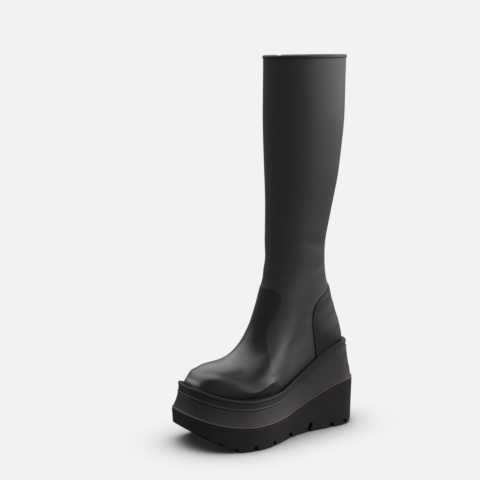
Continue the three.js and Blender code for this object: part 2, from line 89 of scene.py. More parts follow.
# Height of a layer's edge at the forefoot and at the heel, and how far the edge is set in.
RIDGE = (30.5 * MM, 63.3 * MM, 0.0)
WELT_FOOT = (50.7 * MM, 104.7 * MM, 7.6 * MM)
FEATHER = (63.2 * MM, 115.1 * MM, 12.5 * MM)
FEATHER_LEVEL = 0.01

# Zip line and the gore's edges on the inner side, as y against z.
ZIP_Z = np.array([60, 106, 160, 187, 222, 276, 362, 440, 520]) * MM
ZIP_Y = np.array([25, 25, 25, 27.5, 32, 38, 42, 44, 48]) * MM
ZIP_FOOT = tape_low.z
ZIP_TOP = tape_high.z
SLOT = 4 * MM
GORE_FRONT = 58.2 * MM
GORE_BACK = 107 * MM
GORE_FOOT_FRONT = 401 * MM
GORE_FOOT_BACK = 411 * MM


def clamp(value):
    return np.clip(value, 0, 1)


def ease(value):
    value = clamp(value)
    return value * value * (3 - 2 * value)


def mix(start, end, share):
    return start + (end - start) * share


def bell(value, middle, spread):
    return np.exp(-(((value - middle) / spread) ** 2))


def length_along(points):
    """Distance from the start of a line of points to each of them."""
    return np.concatenate([[0], np.cumsum(np.linalg.norm(np.diff(points, axis=0), axis=1))])


def table_at(places, known, table):
    """A table's columns, read at new places along its known ones."""
    return np.stack([np.interp(places, known, column) for column in table.T], axis=-1)


def edge_height(edge, y):
    """Height of a layer's edge: level under the ball, a wedge to the heel and spring at the toe."""
    fore, heel, inset = edge
    share = y / (SOLE_LENGTH - 2 * inset) + 0.5
    wedge = ease((share - WEDGE_START) / (WEDGE_END - WEDGE_START))
    return mix(fore, heel, wedge) + TOE_SPRING * clamp((TOE_CAP - share) / TOE_CAP) ** 2


def ground_height(y):
    share = y / SOLE_LENGTH + 0.5
    toe = GROUND_SPRING * clamp((GROUND_SPRING_END - share) / GROUND_SPRING_END) ** 1.3
    heel = HEEL_BEVEL * clamp((share - HEEL_BEVEL_START) / (1 - HEEL_BEVEL_START)) ** 1.5
    return toe + heel


def end_rounding(share, toe_cap, toe_power, heel_cap, heel_power):
    toe = clamp((toe_cap - share) / toe_cap)
    heel = clamp((share - 1 + heel_cap) / heel_cap)
    return (1 - toe**toe_power) ** (1 / toe_power) * (1 - heel**heel_power) ** (1 / heel_power)


# ---- The upper's surface: level 0 at the lasting edge to 1 at the collar, turn 0 at the toe, over the
# outer side to .5 at the heel and back along the inner side to 1 ----
feather_front = edge_height(FEATHER, -119 * MM) / MM
feather_back = edge_height(FEATHER, 114.5 * MM) / MM
lip_front = feather_front - 2
lip_back = feather_back - 2
# level, front y, front z, back y, back z, ball, heel,
# toe cap, toe power, heel cap, heel power, swing, waist, wedge
UPPER_ROWS = np.array([
    [0.00, -119.0, lip_front, 114.5, lip_back, 42.5, 31.0, 0.30, 2.7, 0.14, 2.4, 13.0, 0.07, 1.00],
    [0.01, -119.0, feather_front, 114.5, feather_back, 42.5, 31.0, 0.30, 2.7, 0.14, 2.4, 13.0, 0.07, 1.00],
    [0.04, -111.8, 88.0, 114.5, 123.0, 44.0, 32.5, 0.35, 2.20, 0.16, 2.4, 13.0, 0.08, 1.00],
    [0.08, -106.2, 95.3, 113.5, 131.0, 44.0, 33.0, 0.39, 2.00, 0.18, 2.3, 12.5, 0.10, 0.92],
    [0.12, -99.8, 100.0, 112.0, 140.0, 42.0, 33.0, 0.42, 1.95, 0.20, 2.2, 11.0, 0.12, 0.80],
    [0.16, -90.5, 101.3, 110.0, 149.0, 39.0, 32.5, 0.43, 2.10, 0.24, 2.1, 9.0, 0.12, 0.62],
    [0.20, -77.5, 101.2, 107.5, 158.0, 36.0, 32.0, 0.47, 2.05, 0.28, 2.0, 7.0, 0.11, 0.45],
    [0.24, -62.5, 101.8, 105.0, 167.0, 34.0, 31.5, 0.50, 2.0, 0.32, 2.0, 5.0, 0.09, 0.30],
    [0.28, -48.5, 106.5, 102.0, 176.0, 33.0, 31.0, 0.50, 2.0, 0.38, 2.0, 3.0, 0.07, 0.20],
    [0.32, -36.0, 118.5, 100.0, 185.0, 32.0, 30.5, 0.50, 2.0, 0.42, 2.0, 2.0, 0.05, 0.12],
    [0.36, -24.0, 135.0, 97.0, 196.0, 31.5, 30.5, 0.50, 2.0, 0.48, 2.0, 1.0, 0.02, 0.05],
    [0.41, -13.0, 167.0, 93.0, 210.0, 31.0, 31.0, 0.50, 2.0, 0.50, 2.0, 0.5, 0.00, 0.00],
    [0.46, -2.5, 200.0, 91.0, 224.0, 31.0, 31.0, 0.50, 2.0, 0.50, 2.0, 0.0, 0.00, 0.00],
    [0.53, 3.5, 236.0, 90.2, 245.0, 32.0, 32.0, 0.50, 2.0, 0.50, 2.0, 0.0, 0.00, 0.00],
    [0.64, 3.9, 296.0, 97.9, 296.0, 36.0, 36.0, 0.50, 2.0, 0.50, 2.0, 0.0, 0.00, 0.00],
    [0.76, 2.6, 358.0, 109.6, 358.0, 42.0, 42.0, 0.50, 2.0, 0.50, 2.0, 0.0, 0.00, 0.00],
    [0.88, 0.6, 430.0, 115.2, 431.0, 46.0, 46.0, 0.50, 2.0, 0.50, 2.0, 0.0, 0.00, 0.00],
    [1.00, 0.4, 498.0, 116.4, 500.0, 46.0, 46.0, 0.50, 2.0, 0.50, 2.0, 0.0, 0.00, 0.00],
])
UPPER_ROWS[:, [1, 2, 3, 4, 5, 6, 11]] *= MM
ROW_LEVELS = UPPER_ROWS[:, 0]


def row_slopes():
    """Slope of every column at every row, flat at a peak, so that the curve never overshoots."""
    steps = np.diff(UPPER_ROWS, axis=0) / np.diff(ROW_LEVELS)[:, None]
    before = np.vstack([steps[:1], steps])
    after = np.vstack([steps, steps[-1:]])
    total = np.where(before + after == 0, 1, before + after)
    return np.where(before * after <= 0, 0, 2 * before * after / total)


ROW_SLOPES = row_slopes()


def section(level):
    """The upper's columns at each level, as one array with the columns last."""
    level = np.asarray(level, float)
    row = np.clip(np.searchsorted(ROW_LEVELS, level) - 1, 0, len(ROW_LEVELS) - 2)
    span = (ROW_LEVELS[row + 1] - ROW_LEVELS[row])[..., None]
    share = ((level - ROW_LEVELS[row]) / span[..., 0])[..., None]
    curve = span * share * (1 - share) * ((1 - share) * ROW_SLOPES[row] - share * ROW_SLOPES[row + 1])
    return mix(UPPER_ROWS[row], UPPER_ROWS[row + 1], ease(share)) + curve


# The vamp's dome: half width at its foot, roundness, its front end, and where it gives way to the rows.
DOME_WIDTH = 45 * MM
DOME_TOE_POWER = 2.2
DOME_INSTEP_POWER = 1.4
DOME_BECOMES_INSTEP = (-75 * MM, -5 * MM)
DOME_FRONT = -119 * MM
DOME_FRONT_CAP = 0.32
DOME_FRONT_POWER = 2.5
DOME_LEVELS = (0.005, 0.045, 0.3, 0.46)
DOME_FADE = (-40 * MM, -5 * MM)
RIDGE_LIFTS = ((3.5 * MM, -76 * MM, 20 * MM), (-3 * MM, -108 * MM, 8 * MM))
ridge_line = section(np.linspace(FEATHER_LEVEL, 0.46, 901))


def dome_at(across, y):
    """Height of the domed vamp: an oval over each cross section, from the feather up to the ridge line."""
    foot = edge_height(FEATHER, y)
    top = np.interp(y, ridge_line[:, 1], ridge_line[:, 2])
    for lift, middle, spread in RIDGE_LIFTS:
        top = top + lift * bell(y, middle, spread)
    share = clamp((y - DOME_FRONT) / (ridge_line[0, 3] - DOME_FRONT))
    half_width = DOME_WIDTH * end_rounding(share, DOME_FRONT_CAP, DOME_FRONT_POWER, 0.14, 2.4)
    reach = clamp(across / np.maximum(half_width, 1e-6))
    start, end = DOME_BECOMES_INSTEP
    instep = ease((y - start) / (end - start))
    return foot + (top - foot) * np.sqrt(1 - reach ** mix(DOME_TOE_POWER, DOME_INSTEP_POWER, instep))


def upper_at(level, angle):
    """Points of the upper's outer face; the angle is in radians from the toe over the outer side."""
    level, angle = np.broadcast_arrays(np.asarray(level, float), np.asarray(angle, float))
    columns = np.moveaxis(section(level), -1, 0)
    _, front_y, front_z, back_y, back_z, ball, heel, toe_cap, toe_power, heel_cap, heel_power = columns[:11]
    swing, waist, keeps_wedge = columns[11:]
    share = (1 - np.cos(angle)) / 2
    side = np.where(np.sin(angle) >= 0, OUTER, INNER)
    rounding = end_rounding(share, toe_cap, toe_power, heel_cap, heel_power)
    half_width = mix(ball, heel, ease((share - 0.25) / 0.5)) * rounding
    half_width = half_width * (1 - waist * bell(share, WAIST_AT, 0.14))
    centre = HEEL_LINE + swing * bell(share, BALL_AT, 0.2)
    y = mix(front_y, back_y, share)
    chord = mix(edge_height(FEATHER, front_y), edge_height(FEATHER, back_y), share)
    z = mix(front_z, back_z, share) + keeps_wedge * (edge_height(FEATHER, y) - chord)
    domed = ease((level - DOME_LEVELS[0]) / (DOME_LEVELS[1] - DOME_LEVELS[0]))
    domed = domed * ease((DOME_LEVELS[3] - level) / (DOME_LEVELS[3] - DOME_LEVELS[2]))
    domed = domed * ease((DOME_FADE[1] - y) / (DOME_FADE[1] - DOME_FADE[0]))
    z = mix(z, dome_at(half_width, y), domed)
    return np.stack([centre + side * half_width, y, z], axis=-1)


def unit(vectors):
    return vectors / np.maximum(np.linalg.norm(vectors, axis=-1, keepdims=True), 1e-12)


def upper_out(level, angle):
    """Outward direction of the upper's face, kept level near the lasting edge."""
    turn = 0.03
    climb = 0.004
    round_it = upper_at(level, angle + turn) - upper_at(level, angle - turn)
    rise = upper_at(np.minimum(1, level + climb), angle) - upper_at(np.maximum(0, level - climb), angle)
    out = unit(np.cross(round_it, rise))
    out[..., 2] *= clamp(np.asarray(level) / 0.05)
    return unit(out)


def even_angles():
    """Angles against turn, with equal steps along the feather line."""
    angles = np.linspace(0, math.pi, 2001)
    line = upper_at(np.full(angles.shape, FEATHER_LEVEL), angles)
    length = length_along(line)
    return length / length[-1] / 2, angles


TURNS, TURN_ANGLES = even_angles()


def angle_of(turn):
    """Angle at a turn from 0 to 1; past .5 it comes back along the inner side."""
    turn = np.asarray(turn, float) % 1
    outer = np.interp(turn, TURNS, TURN_ANGLES)
    inner = 2 * math.pi - np.interp(1 - turn, TURNS, TURN_ANGLES)
    return np.where(turn <= 0.5, outer, inner)


def turn_of(angle):
    angle = np.asarray(angle, float) % (2 * math.pi)
    outer = np.interp(angle, TURN_ANGLES, TURNS)
    inner = 1 - np.interp(2 * math.pi - angle, TURN_ANGLES, TURNS)
    return np.where(angle <= math.pi, outer, inner)


def angle_at_y(level, y, side):
    """Angle of the point at a level that lies at y, on one side of the boot."""
    columns = section(level)
    share = clamp((y - columns[..., 1]) / (columns[..., 3] - columns[..., 1]))
    angle = np.arccos(1 - 2 * share)
    return np.where(side > 0, angle, 2 * math.pi - angle)


def level_at(y, z, side):
    """Level and angle of the surface point that has this y and z, on one side of the boot."""
    y = np.asarray(y, float)
    z = np.asarray(z, float)
    low = np.zeros(y.shape)
    high = np.ones(y.shape)
    for _ in range(40):
        middle = (low + high) / 2
        below = upper_at(middle, angle_at_y(middle, y, side))[..., 2] < z
        low = np.where(below, middle, low)
        high = np.where(below, high, middle)
    middle = (low + high) / 2
    return middle, angle_at_y(middle, y, side)


def zip_y(z):
    """The zip's line, smoothed through its points."""
    steps = np.linspace(-12 * MM, 12 * MM, 9)
    return np.mean([np.interp(z + step, ZIP_Z, ZIP_Y) for step in steps], axis=0)


SHAFT_RADIUS = 34 * MM


def girth_place(level, angle):
    """Distance round from the front, plus on the outer side, and height, for placing creases."""
    point = upper_at(level, angle)
    wrapped = (np.asarray(angle) + math.pi) % (2 * math.pi) - math.pi
    return wrapped * SHAFT_RADIUS, point[..., 2]


# ---- Creases of the worn-in leather: points as [mm round from the front, height in mm], depth, width ----
CREASES = [
    ([(-62, 226), (-38, 214), (-12, 206), (10, 207), (34, 216), (58, 229)], -0.55, 5.5),
    ([(-60, 238), (-34, 224), (-8, 217), (14, 219), (40, 229)], 0.45, 6.0),
    ([(-46, 250), (-20, 238), (6, 233), (28, 238)], -0.35, 6.5),
    ([(-30, 262), (-4, 253), (22, 256)], 0.25, 7.0),
    ([(40, 262), (62, 254), (84, 250)], -0.4, 7.0),
    ([(48, 276), (70, 268), (90, 266)], 0.3, 7.0),
    ([(-88, 258), (-64, 264), (-44, 276)], -0.4, 7.0),
    ([(60, 214), (76, 224), (92, 228)], -0.4, 5.5),
    ([(-92, 232), (-78, 226), (-64, 214)], -0.4, 5.5),
    ([(-24, 180), (-8, 172), (10, 172), (26, 181)], -0.35, 6.0),
    ([(-20, 160), (-2, 153), (18, 159)], 0.25, 6.0),
]


def crease_lift(level, angle):
    """How far the soft creases lift the leather, in metres."""
    around, height = girth_place(level, angle)
    lift = np.zeros(np.shape(around))
    for points, depth, width in CREASES:
        line = np.array(points) * MM
        near = np.full(np.shape(around), 9.0)
        along = np.zeros(np.shape(around))
        for number in range(len(line) - 1):
            start, step = line[number], line[number + 1] - line[number]
            share = clamp(((around - start[0]) * step[0] + (height - start[1]) * step[1]) / (step @ step))
            away = np.hypot(around - start[0] - share * step[0], height - start[1] - share * step[1])
            along = np.where(away < near, (number + share) / (len(line) - 1), along)
            near = np.minimum(near, away)
        lift += depth * MM * bell(near, 0, width * MM) * ease(along * 4) * ease((1 - along) * 4)
    return lift


def shaft_sag(level, angle):
    """Slow unevenness of the soft shaft, a few tenths of a millimetre."""
    around, height = girth_place(level, angle)
    wave = np.sin(around * 55 + height * 21) * np.sin(height * 34 - around * 17 + 1.3)
    wave = wave + 0.6 * np.sin(around * 31 - height * 47 + 0.7) * np.sin(height * 19 + 2.1)
    return 0.35 * MM * wave * ease((height - 0.17) / 0.06) * ease((upper_high.z - height) / 0.02)


TURN_IN = 1.6 * MM
TURN_IN_LEVELS = (0.034, 0.012)


def turned_in(level):
    """How far the leather is drawn in at its foot, which leaves a dark gap over the welt."""
    high, low = TURN_IN_LEVELS
    return TURN_IN * ease((high - np.asarray(level)) / (high - low))


# Where the vamp is smoothed: it starts and ends over these levels, and ends at this y. Each point becomes
# a weighted mean of its neighbours, this many steps of level and of angle away.
SOFT_LEVELS = (0.02, 0.1, 0.34, 0.46)
SOFT_END = 25 * MM
SOFT_LEVEL_STEP = 0.04
SOFT_ANGLE_STEP = 0.13
SOFT_STEPS = ((-2, 0.135), (-1, 0.607), (0, 1.0), (1, 0.607), (2, 0.135))


def soft_upper_at(level, angle):
    """The upper's surface with the vamp drawn smooth, as leather pulled over a last is."""
    level, angle = np.broadcast_arrays(np.asarray(level, float), np.asarray(angle, float))
    low, low_end, high, high_end = SOFT_LEVELS
    soft = ease((level - low) / (low_end - low)) * ease((high_end - level) / (high_end - high))
    soft = soft * ease(1 - upper_at(level, angle)[..., 1] / SOFT_END)
    total = 0.0
    weight = 0.0
    for up, up_weight in SOFT_STEPS:
        up = up * SOFT_LEVEL_STEP * soft
        for around, around_weight in SOFT_STEPS:
            near = upper_at(level + up, angle + around * SOFT_ANGLE_STEP * soft)
            total = total + near * up_weight * around_weight
            weight += up_weight * around_weight
    return total / weight


def leather_at(level, angle, lift=0.0):
    """Points of the leather, creases included, lifted off the plain surface."""
    lift = lift + crease_lift(level, angle) + shaft_sag(level, angle) - turned_in(level)
    return soft_upper_at(level, angle) + upper_out(level, angle) * np.asarray(lift)[..., None]


# ---- The sole's outline ----
def sole_at(angle, inset, height):
    """Points of the sole's outline, set in by a distance; height is a function of y."""
    share = (1 - np.cos(angle)) / 2
    side = np.where(np.sin(angle) >= 0, OUTER, INNER)
    half_width = mix(BALL_WIDTH / 2, HEEL_WIDTH / 2, ease((share - 0.25) / 0.5))
    half_width = half_width - WAIST_PINCH * bell(share, WAIST_AT, 0.12)
    rounding = end_rounding(share, TOE_CAP, TOE_POWER, HEEL_CAP, HEEL_POWER)
    x = HEEL_LINE + SWING * bell(share, BALL_AT, 0.2) + side * rounding * (half_width - inset)
    y = (share - 0.5) * (SOLE_LENGTH - 2 * inset)
    return np.stack([x, y, height(y)], axis=-1)


def feather_at(angle, offset, height):
    """Points of the upper's feather line, moved outwards; height is a function of y."""
    level = np.full(angle.shape, FEATHER_LEVEL)
    out = upper_out(level, angle)
    out[..., 2] = 0
    point = upper_at(level, angle) + unit(out) * offset
    point[..., 2] = height(point[..., 1])
    return point


def ridge_height(y):
    return edge_height(RIDGE, y)


def welt_foot_height(y):
    return edge_height(WELT_FOOT, y)


def feather_height(y):
    return edge_height(FEATHER, y)


def deck_height(y):
    return feather_height(y) - TUCK - GAP


def between(lower, upper, share, extra=0.0):
    """A height function part of the way from one edge to the next."""
    return lambda y: mix(lower(y), upper(y), share) + extra


# ---- Mesh helpers ----
def grid_mesh(columns, rows, place, keep=None):
    """A bmesh grid moved to place(u, v), with u and v from 0 to 1, and its u and v kept as a UV map."""
    mesh = bmesh.new()
    bmesh.ops.create_grid(mesh, x_segments=columns, y_segments=rows, size=0.5)
    layer = mesh.loops.layers.uv.new("surface")
    for face in mesh.faces:
        for loop in face.loops:
            loop[layer].uv = (loop.vert.co.x + 0.5, loop.vert.co.y + 0.5)
    if keep is not None:
        middles = [face.calc_center_median() for face in mesh.faces]
        faces = zip(list(mesh.faces), middles)
        dropped = [face for face, middle in faces if not keep(middle.x + 0.5, middle.y + 0.5)]
        bmesh.ops.delete(mesh, geom=dropped, context="FACES")
    spots = np.array([vert.co[:2] for vert in mesh.verts]) + 0.5
    for vert, spot in zip(list(mesh.verts), place(spots[:, 0], spots[:, 1])):
        vert.co = spot
    return mesh


def loft_mesh(ribs, closed_section=False):
    """A skin through loops of points that each go once round the boot."""
    ribs = list(ribs)
    if closed_section:
        ribs.append(ribs[0])
    table = np.array(ribs)
    rows = table.shape[0] - 1
    columns = table.shape[1]
    table = np.concatenate([table, table[:, :1]], axis=1)

    def place(u, v):
        return table[np.rint(v * rows).astype(int), np.rint(u * columns).astype(int)]

    mesh = grid_mesh(columns, rows, place)
    bmesh.ops.remove_doubles(mesh, verts=mesh.verts, dist=1e-6)
    bmesh.ops.recalc_face_normals(mesh, faces=mesh.faces)
    return mesh


def cap_ribs(loop, shares):
    """Ribs that draw a loop in to its middle line, each outer point towards its partner inside."""
    partner = np.roll(loop[::-1], 1, axis=0)
    middle = (loop + partner) / 2
    return [mix(middle, loop, share) for share in shares]


def mesh_data(name, mesh):
    """Mesh data from a bmesh, which is freed."""
    data = bpy.data.meshes.new(name)
    mesh.to_mesh(data)
    mesh.free()
    return data


def add_object(name, data):
    made = bpy.data.objects.new(name, data)
    bpy.context.scene.collection.objects.link(made)
    return made


def piece(name, mesh, finish, nodes=(), body="boot", others=()):
    """A finished object from a bmesh, riding on a body and standing for CAD nodes."""
    data = mesh_data(name, mesh)
    data.shade_smooth()
    made = add_object(name, data)
    for material in (finish, *others):
        data.materials.append(material)
    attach(made, body)
    if nodes:
        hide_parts(*nodes)
    return made


def thicken(made, thickness, inside=0, rim=0):
    """Gives a sheet its wall, inwards, with how far on the materials of its inside and cut edge are."""
    wall = made.modifiers.new("wall", "SOLIDIFY")
    wall.thickness = thickness
    wall.offset = -1
    wall.material_offset = inside
    wall.material_offset_rim = rim


def round_edges(made, width, angle=50):
    """Rounds a piece's edges that are sharper than an angle in degrees."""
    edge = made.modifiers.new("rounded", "BEVEL")
    edge.width = width
    edge.segments = 2
    edge.profile = 0.5
    edge.material = -1
    edge.limit_method = "ANGLE"
    edge.angle_limit = math.radians(angle)


def bake_modifiers(made):
    """Replaces a piece's mesh by what its modifiers make of it."""
    shown = made.evaluated_get(bpy.context.evaluated_depsgraph_get())
    data = bpy.data.meshes.new_from_object(shown)
    made.modifiers.clear()
    made.data = data


def small_ball(name, around, high):
    """A ball of a few dozen faces, kept as a pattern for stitches and teeth."""
    mesh = bmesh.new()
    bmesh.ops.create_uvsphere(mesh, u_segments=around, v_segments=high, radius=1)
    return mesh_data(name, mesh)


def add_ball(mesh, pattern, spot, run, side, out):
    """Adds the pattern, stretched along three directions whose lengths are its half sizes."""
    ball = pattern.copy()
    ball.transform(Matrix.Translation(spot) @ Matrix((run, side, out)).transposed().to_4x4())
    mesh.from_mesh(ball)
    bpy.data.meshes.remove(ball)


UNWORN = 3 * MM


def write_rim(mesh, distance_at):
    """Stores a distance in metres at each point: the finishes read it as wear near an edge and as a painted
    highlight near a crest.
    """
    layer = mesh.verts.layers.float.new("rim")
    for vert in mesh.verts:
        vert[layer] = distance_at(vert.co)
    return layer


def rim_distance(mesh):
    """Stores each point's distance to the sheet's open edge, for worn and turned edges."""
    edge = [vert for vert in mesh.verts if vert.is_boundary]
    tree = KDTree(len(edge))
    for number, vert in enumerate(edge):
        tree.insert(vert.co, number)
    tree.balance()
    return write_rim(mesh, lambda spot: tree.find(spot)[2])


def crest_distance(mesh, height):
    """Stores each point's distance from a moulded bead's crest, along which a paler highlight is painted."""
    return write_rim(mesh, lambda spot: abs(spot.z - float(height(spot.y))))


# ---- Shader helpers ----
class Wire:
    """One value in a shader tree; arithmetic on it adds Math nodes."""

    def __init__(self, finish, socket):
        self.finish = finish
        self.socket = socket

    def math(self, operation, first, second=0.5):
        return self.finish.node("ShaderNodeMath", {"operation": operation}, {0: first, 1: second})

    def __add__(self, other):
        return self.math("ADD", self, other)

    def __radd__(self, other):
        return self.math("ADD", other, self)

    def __sub__(self, other):
        return self.math("SUBTRACT", self, other)

    def __rsub__(self, other):
        return self.math("SUBTRACT", other, self)

    def __mul__(self, other):
        return self.math("MULTIPLY", self, other)

    def __rmul__(self, other):
        return self.math("MULTIPLY", other, self)

    def above(self, edge, soft):
        """0 below the edge and 1 above it, over a soft width."""
        return self.finish.node(
            "ShaderNodeMapRange",
            {"interpolation_type": "SMOOTHSTEP", "clamp": True},
            {"Value": self, "From Min": edge - soft, "From Max": edge + soft, "To Min": 0.0, "To Max": 1.0},
        )

    def wave(self):
        return self.math("SINE", self)

    def size(self):
        return self.math("ABSOLUTE", self)


def first_node(tree, kind):
    return next(node for node in tree.nodes if node.type == kind)


class Finish:
    """One material with its Principled shader."""

    def __init__(self, name, roughness=0.5, metallic=0.0, **fixed):
        self.material = bpy.data.materials.new(name)
        self.material.use_nodes = True
        self.tree = self.material.node_tree
        self.shader = first_node(self.tree, "BSDF_PRINCIPLED")
        self.shader.inputs["Roughness"].default_value = roughness
        self.shader.inputs["Metallic"].default_value = metallic
        for socket, value in fixed.items():
            self.shader.inputs[socket.replace("_", " ")].default_value = value
        self.place = self.node("ShaderNodeTexCoord", output="Object")

    def node(self, kind, settings=None, values=None, output=0):
        made = self.tree.nodes.new(kind)
        for setting, value in (settings or {}).items():
            setattr(made, setting, value)
        for socket, value in (values or {}).items():
            self.set_socket(made.inputs[socket], value)
        return Wire(self, made.outputs[output])

    def set_socket(self, socket, value):
        if isinstance(value, Wire):
            self.tree.links.new(value.socket, socket)
        else:
            socket.default_value = value

    def feed(self, **values):
        for socket, value in values.items():
            self.set_socket(self.shader.inputs[socket.replace("_", " ")], value)
        return self.material

    def noise(self, scale, detail=3.0, roughness=0.55, place=None):
        values = {"Vector": place or self.place, "Scale": scale, "Detail": detail, "Roughness": roughness}
        return self.node("ShaderNodeTexNoise", None, values)

    def cells(self, scale, place=None):
        """Distance inside small cells, as in a leather's grain."""
        values = {"Vector": place or self.place, "Scale": scale}
        return self.node("ShaderNodeTexVoronoi", {"feature": "F1"}, values)

    def stretched(self, x, y, z):
        """Object place stretched by three factors."""
        return self.node("ShaderNodeMapping", None, {"Vector": self.place, "Scale": (x, y, z)})

    def surface(self, u, v):
        """The piece's own UV map, scaled."""
        own = self.node("ShaderNodeUVMap", {"uv_map": "surface"})
        return self.node("ShaderNodeMapping", None, {"Vector": own, "Scale": (u, v, 1.0)})

    def parts(self, vector):
        split = self.node("ShaderNodeSeparateXYZ", None, {0: vector})
        outputs = split.socket.node.outputs
        return [Wire(self, outputs[axis]) for axis in ("X", "Y", "Z")]

    def rim(self):
        return self.node("ShaderNodeAttribute", {"attribute_name": "rim"}, output="Fac")

    def tint(self, factor, first, second):
        """A colour between two, by a factor."""
        values = {0: factor, 6: self.colour(first), 7: self.colour(second)}
        return self.node("ShaderNodeMix", {"data_type": "RGBA"}, values, output=2)

    def colour(self, value):
        return value if isinstance(value, Wire) else (*value, 1.0)

    def seen(self):
        """1 for what the camera looks at, and 0 for light that falls on other things."""
        return self.node("ShaderNodeLightPath", output="Is Camera Ray")

    def bump(self, height, depth, strength=1.0, under=None):
        values = {"Height": height, "Distance": depth, "Strength": strength}
        if under is not None:
            values["Normal"] = under
        return self.node("ShaderNodeBump", None, values)


def shade(colour, factor):
    return tuple(channel * factor for channel in colour)


# ---- Finishes ----
BOOT_BLACK = (0.0125, 0.0118, 0.0130)
VAMP_BLACK = (0.0098, 0.0094, 0.0104)
THREAD_BLACK = (0.016, 0.0155, 0.0165)
RUBBER_BLACK = (0.0260, 0.0236, 0.0242)
MIDSOLE_BLACK = (0.0280, 0.0255, 0.0262)
LINING_BLACK = (0.022, 0.0205, 0.0215)
METAL_BLACK = (0.07, 0.068, 0.072)


def leather(name, colour, roughness, grain, depth, rub, coat=0.0, shine=0.5):
    """Smooth leather: fine cell grain, pores, slow tone changes, and edges rubbed paler and duller."""
    made = Finish(name, roughness=roughness, Coat_Roughness=0.28, Coat_IOR=1.45, Specular_IOR_Level=shine)
    slow = made.noise(14, detail=4)
    patches = made.noise(60, detail=5, roughness=0.65)
    pebble = made.cells(grain)
    pores = made.noise(grain * 2.6, detail=2)
    rim = made.rim()
    edge = (1 - rim.above(1.6 * MM, 1.4 * MM)) * patches.above(0.42, 0.12)
    tone = made.tint(slow, shade(colour, 0.82), shade(colour, 1.2))
    tone = made.tint(pebble * 0.35, tone, shade(colour, 0.6))
    tone = made.tint(edge * rub, tone, shade(colour, 2.3))
    uneven = made.noise(42, detail=3)
    fine = made.bump(pebble * 0.7 + pores * 0.3, depth, 0.8)
    bumps = made.bump(uneven, 0.5 * MM, 0.5, under=fine)
    return made.feed(
        Base_Color=tone,
        Roughness=roughness - 0.06 + patches * 0.09 + pebble * 0.05 + edge * 0.1,
        Coat_Weight=coat - edge * coat * 0.6 if coat else 0.0,
        Normal=bumps,
    )


def lining(name, colour, scale):
    """Brushed knit lining: small ribs along and across, and soft fibre."""
    made = Finish(name, roughness=0.9, Sheen_Weight=0.35, Sheen_Roughness=0.5, Sheen_Tint=(0.6, 0.6, 0.6, 1))
    fibre = made.noise(scale * 1.6, detail=4, place=made.stretched(1.0, 1.0, 0.35))
    knit = made.cells(scale, place=made.stretched(1.0, 1.0, 0.7))
    worn = made.noise(22, detail=3)
    tone = made.tint(fibre, shade(colour, 0.65), shade(colour, 1.5))
    tone = made.tint(worn * 0.4, tone, shade(colour, 1.3))
    return made.feed(
        Base_Color=tone,
        Roughness=0.82 + fibre * 0.14,
        Normal=made.bump(knit * 0.6 + fibre * 0.4, 0.25 * MM, 0.7),
    )


def rubber(name, colour, roughness, speckle, worn_below=None, shine=0.3, wear_and_highlight=0.0):
    """Moulded rubber or foam skin: fine mould texture, slow blotches, a dusty tread, and a painted highlight
    along a bead's crest.
    """
    made = Finish(name, roughness=roughness, Specular_IOR_Level=shine)
    mould = made.noise(speckle, detail=2)
    blotch = made.noise(30, detail=5, roughness=0.7)
    slow = made.noise(9, detail=2)
    tone = made.tint(slow, shade(colour, 0.88), shade(colour, 1.16))
    tone = made.tint(blotch.above(0.56, 0.16) * 0.3, tone, shade(colour, 1.45))
    rough = roughness - 0.05 + blotch * 0.12 + mould * 0.04
    if worn_below is not None:
        height = made.parts(made.place)[2]
        dust = (1 - height.above(worn_below, 3 * MM)) * made.noise(140, detail=4).above(0.5, 0.2)
        tone = made.tint(dust * 0.35, tone, (0.05, 0.048, 0.045))
        rough = rough + dust * 0.1
    # Painted highlight: the bead's crest is drawn paler and smoother, as if it caught the light.
    if wear_and_highlight:
        crest = 1 - made.rim().above(0.8 * MM, 0.6 * MM)
        tone = made.tint(crest * wear_and_highlight, tone, shade(colour, 4.5))
        rough = rough - crest * 0.08
    return made.feed(
        Base_Color=tone,
        Roughness=rough,
        Normal=made.bump(mould * 0.5 + blotch * 0.5, 0.12 * MM, 0.5),
    )


def woven(name, colour, across, along, roughness):
    """Cloth whose threads follow the piece: counts of threads over its width and its length."""
    made = Finish(name, roughness=roughness, Sheen_Weight=0.2, Sheen_Roughness=0.45)
    place = made.surface(across * math.pi, along * math.pi)
    over, up, _ = made.parts(place)
    weave = over.wave() * up.wave()
    rib = over.wave().size()
    fuzz = made.noise(900, detail=3)
    slow = made.noise(35, detail=3)
    tone = made.tint(weave * 0.5 + 0.5, shade(colour, 0.6), shade(colour, 1.5))
    tone = made.tint(slow * 0.4, tone, shade(colour, 1.3))
    return made.feed(
        Base_Color=tone,
        Roughness=roughness - 0.08 + fuzz * 0.16,
        Normal=made.bump(weave * 0.4 + rib * 0.4 + fuzz * 0.2, 0.12 * MM, 0.8),
    )


def thread(name, colour):
    """Waxed polyester thread: a fine twist and uneven sheen."""
    made = Finish(name, roughness=0.5, Sheen_Weight=0.15)
    twist = made.noise(3200, detail=2, place=made.stretched(1.0, 0.5, 1.6))
    slow = made.noise(120, detail=2)
    return made.feed(
        Base_Color=made.tint(slow, shade(colour, 0.7), shade(colour, 1.7)),
        Roughness=0.42 + twist * 0.2,
        Normal=made.bump(twist, 0.08 * MM, 0.8),
    )


def nylon(name, colour):
    """Moulded zip teeth, a little polished where the slider rubs them."""
    made = Finish(name, roughness=0.35, Specular_IOR_Level=0.5)
    wear_and_highlight = made.noise(260, detail=3)
    return made.feed(
        Base_Color=made.tint(wear_and_highlight, shade(colour, 0.75), shade(colour, 1.5)),
        Roughness=0.28 + wear_and_highlight * 0.22,
        Normal=made.bump(made.noise(1800, detail=2), 0.03 * MM, 0.5),
    )


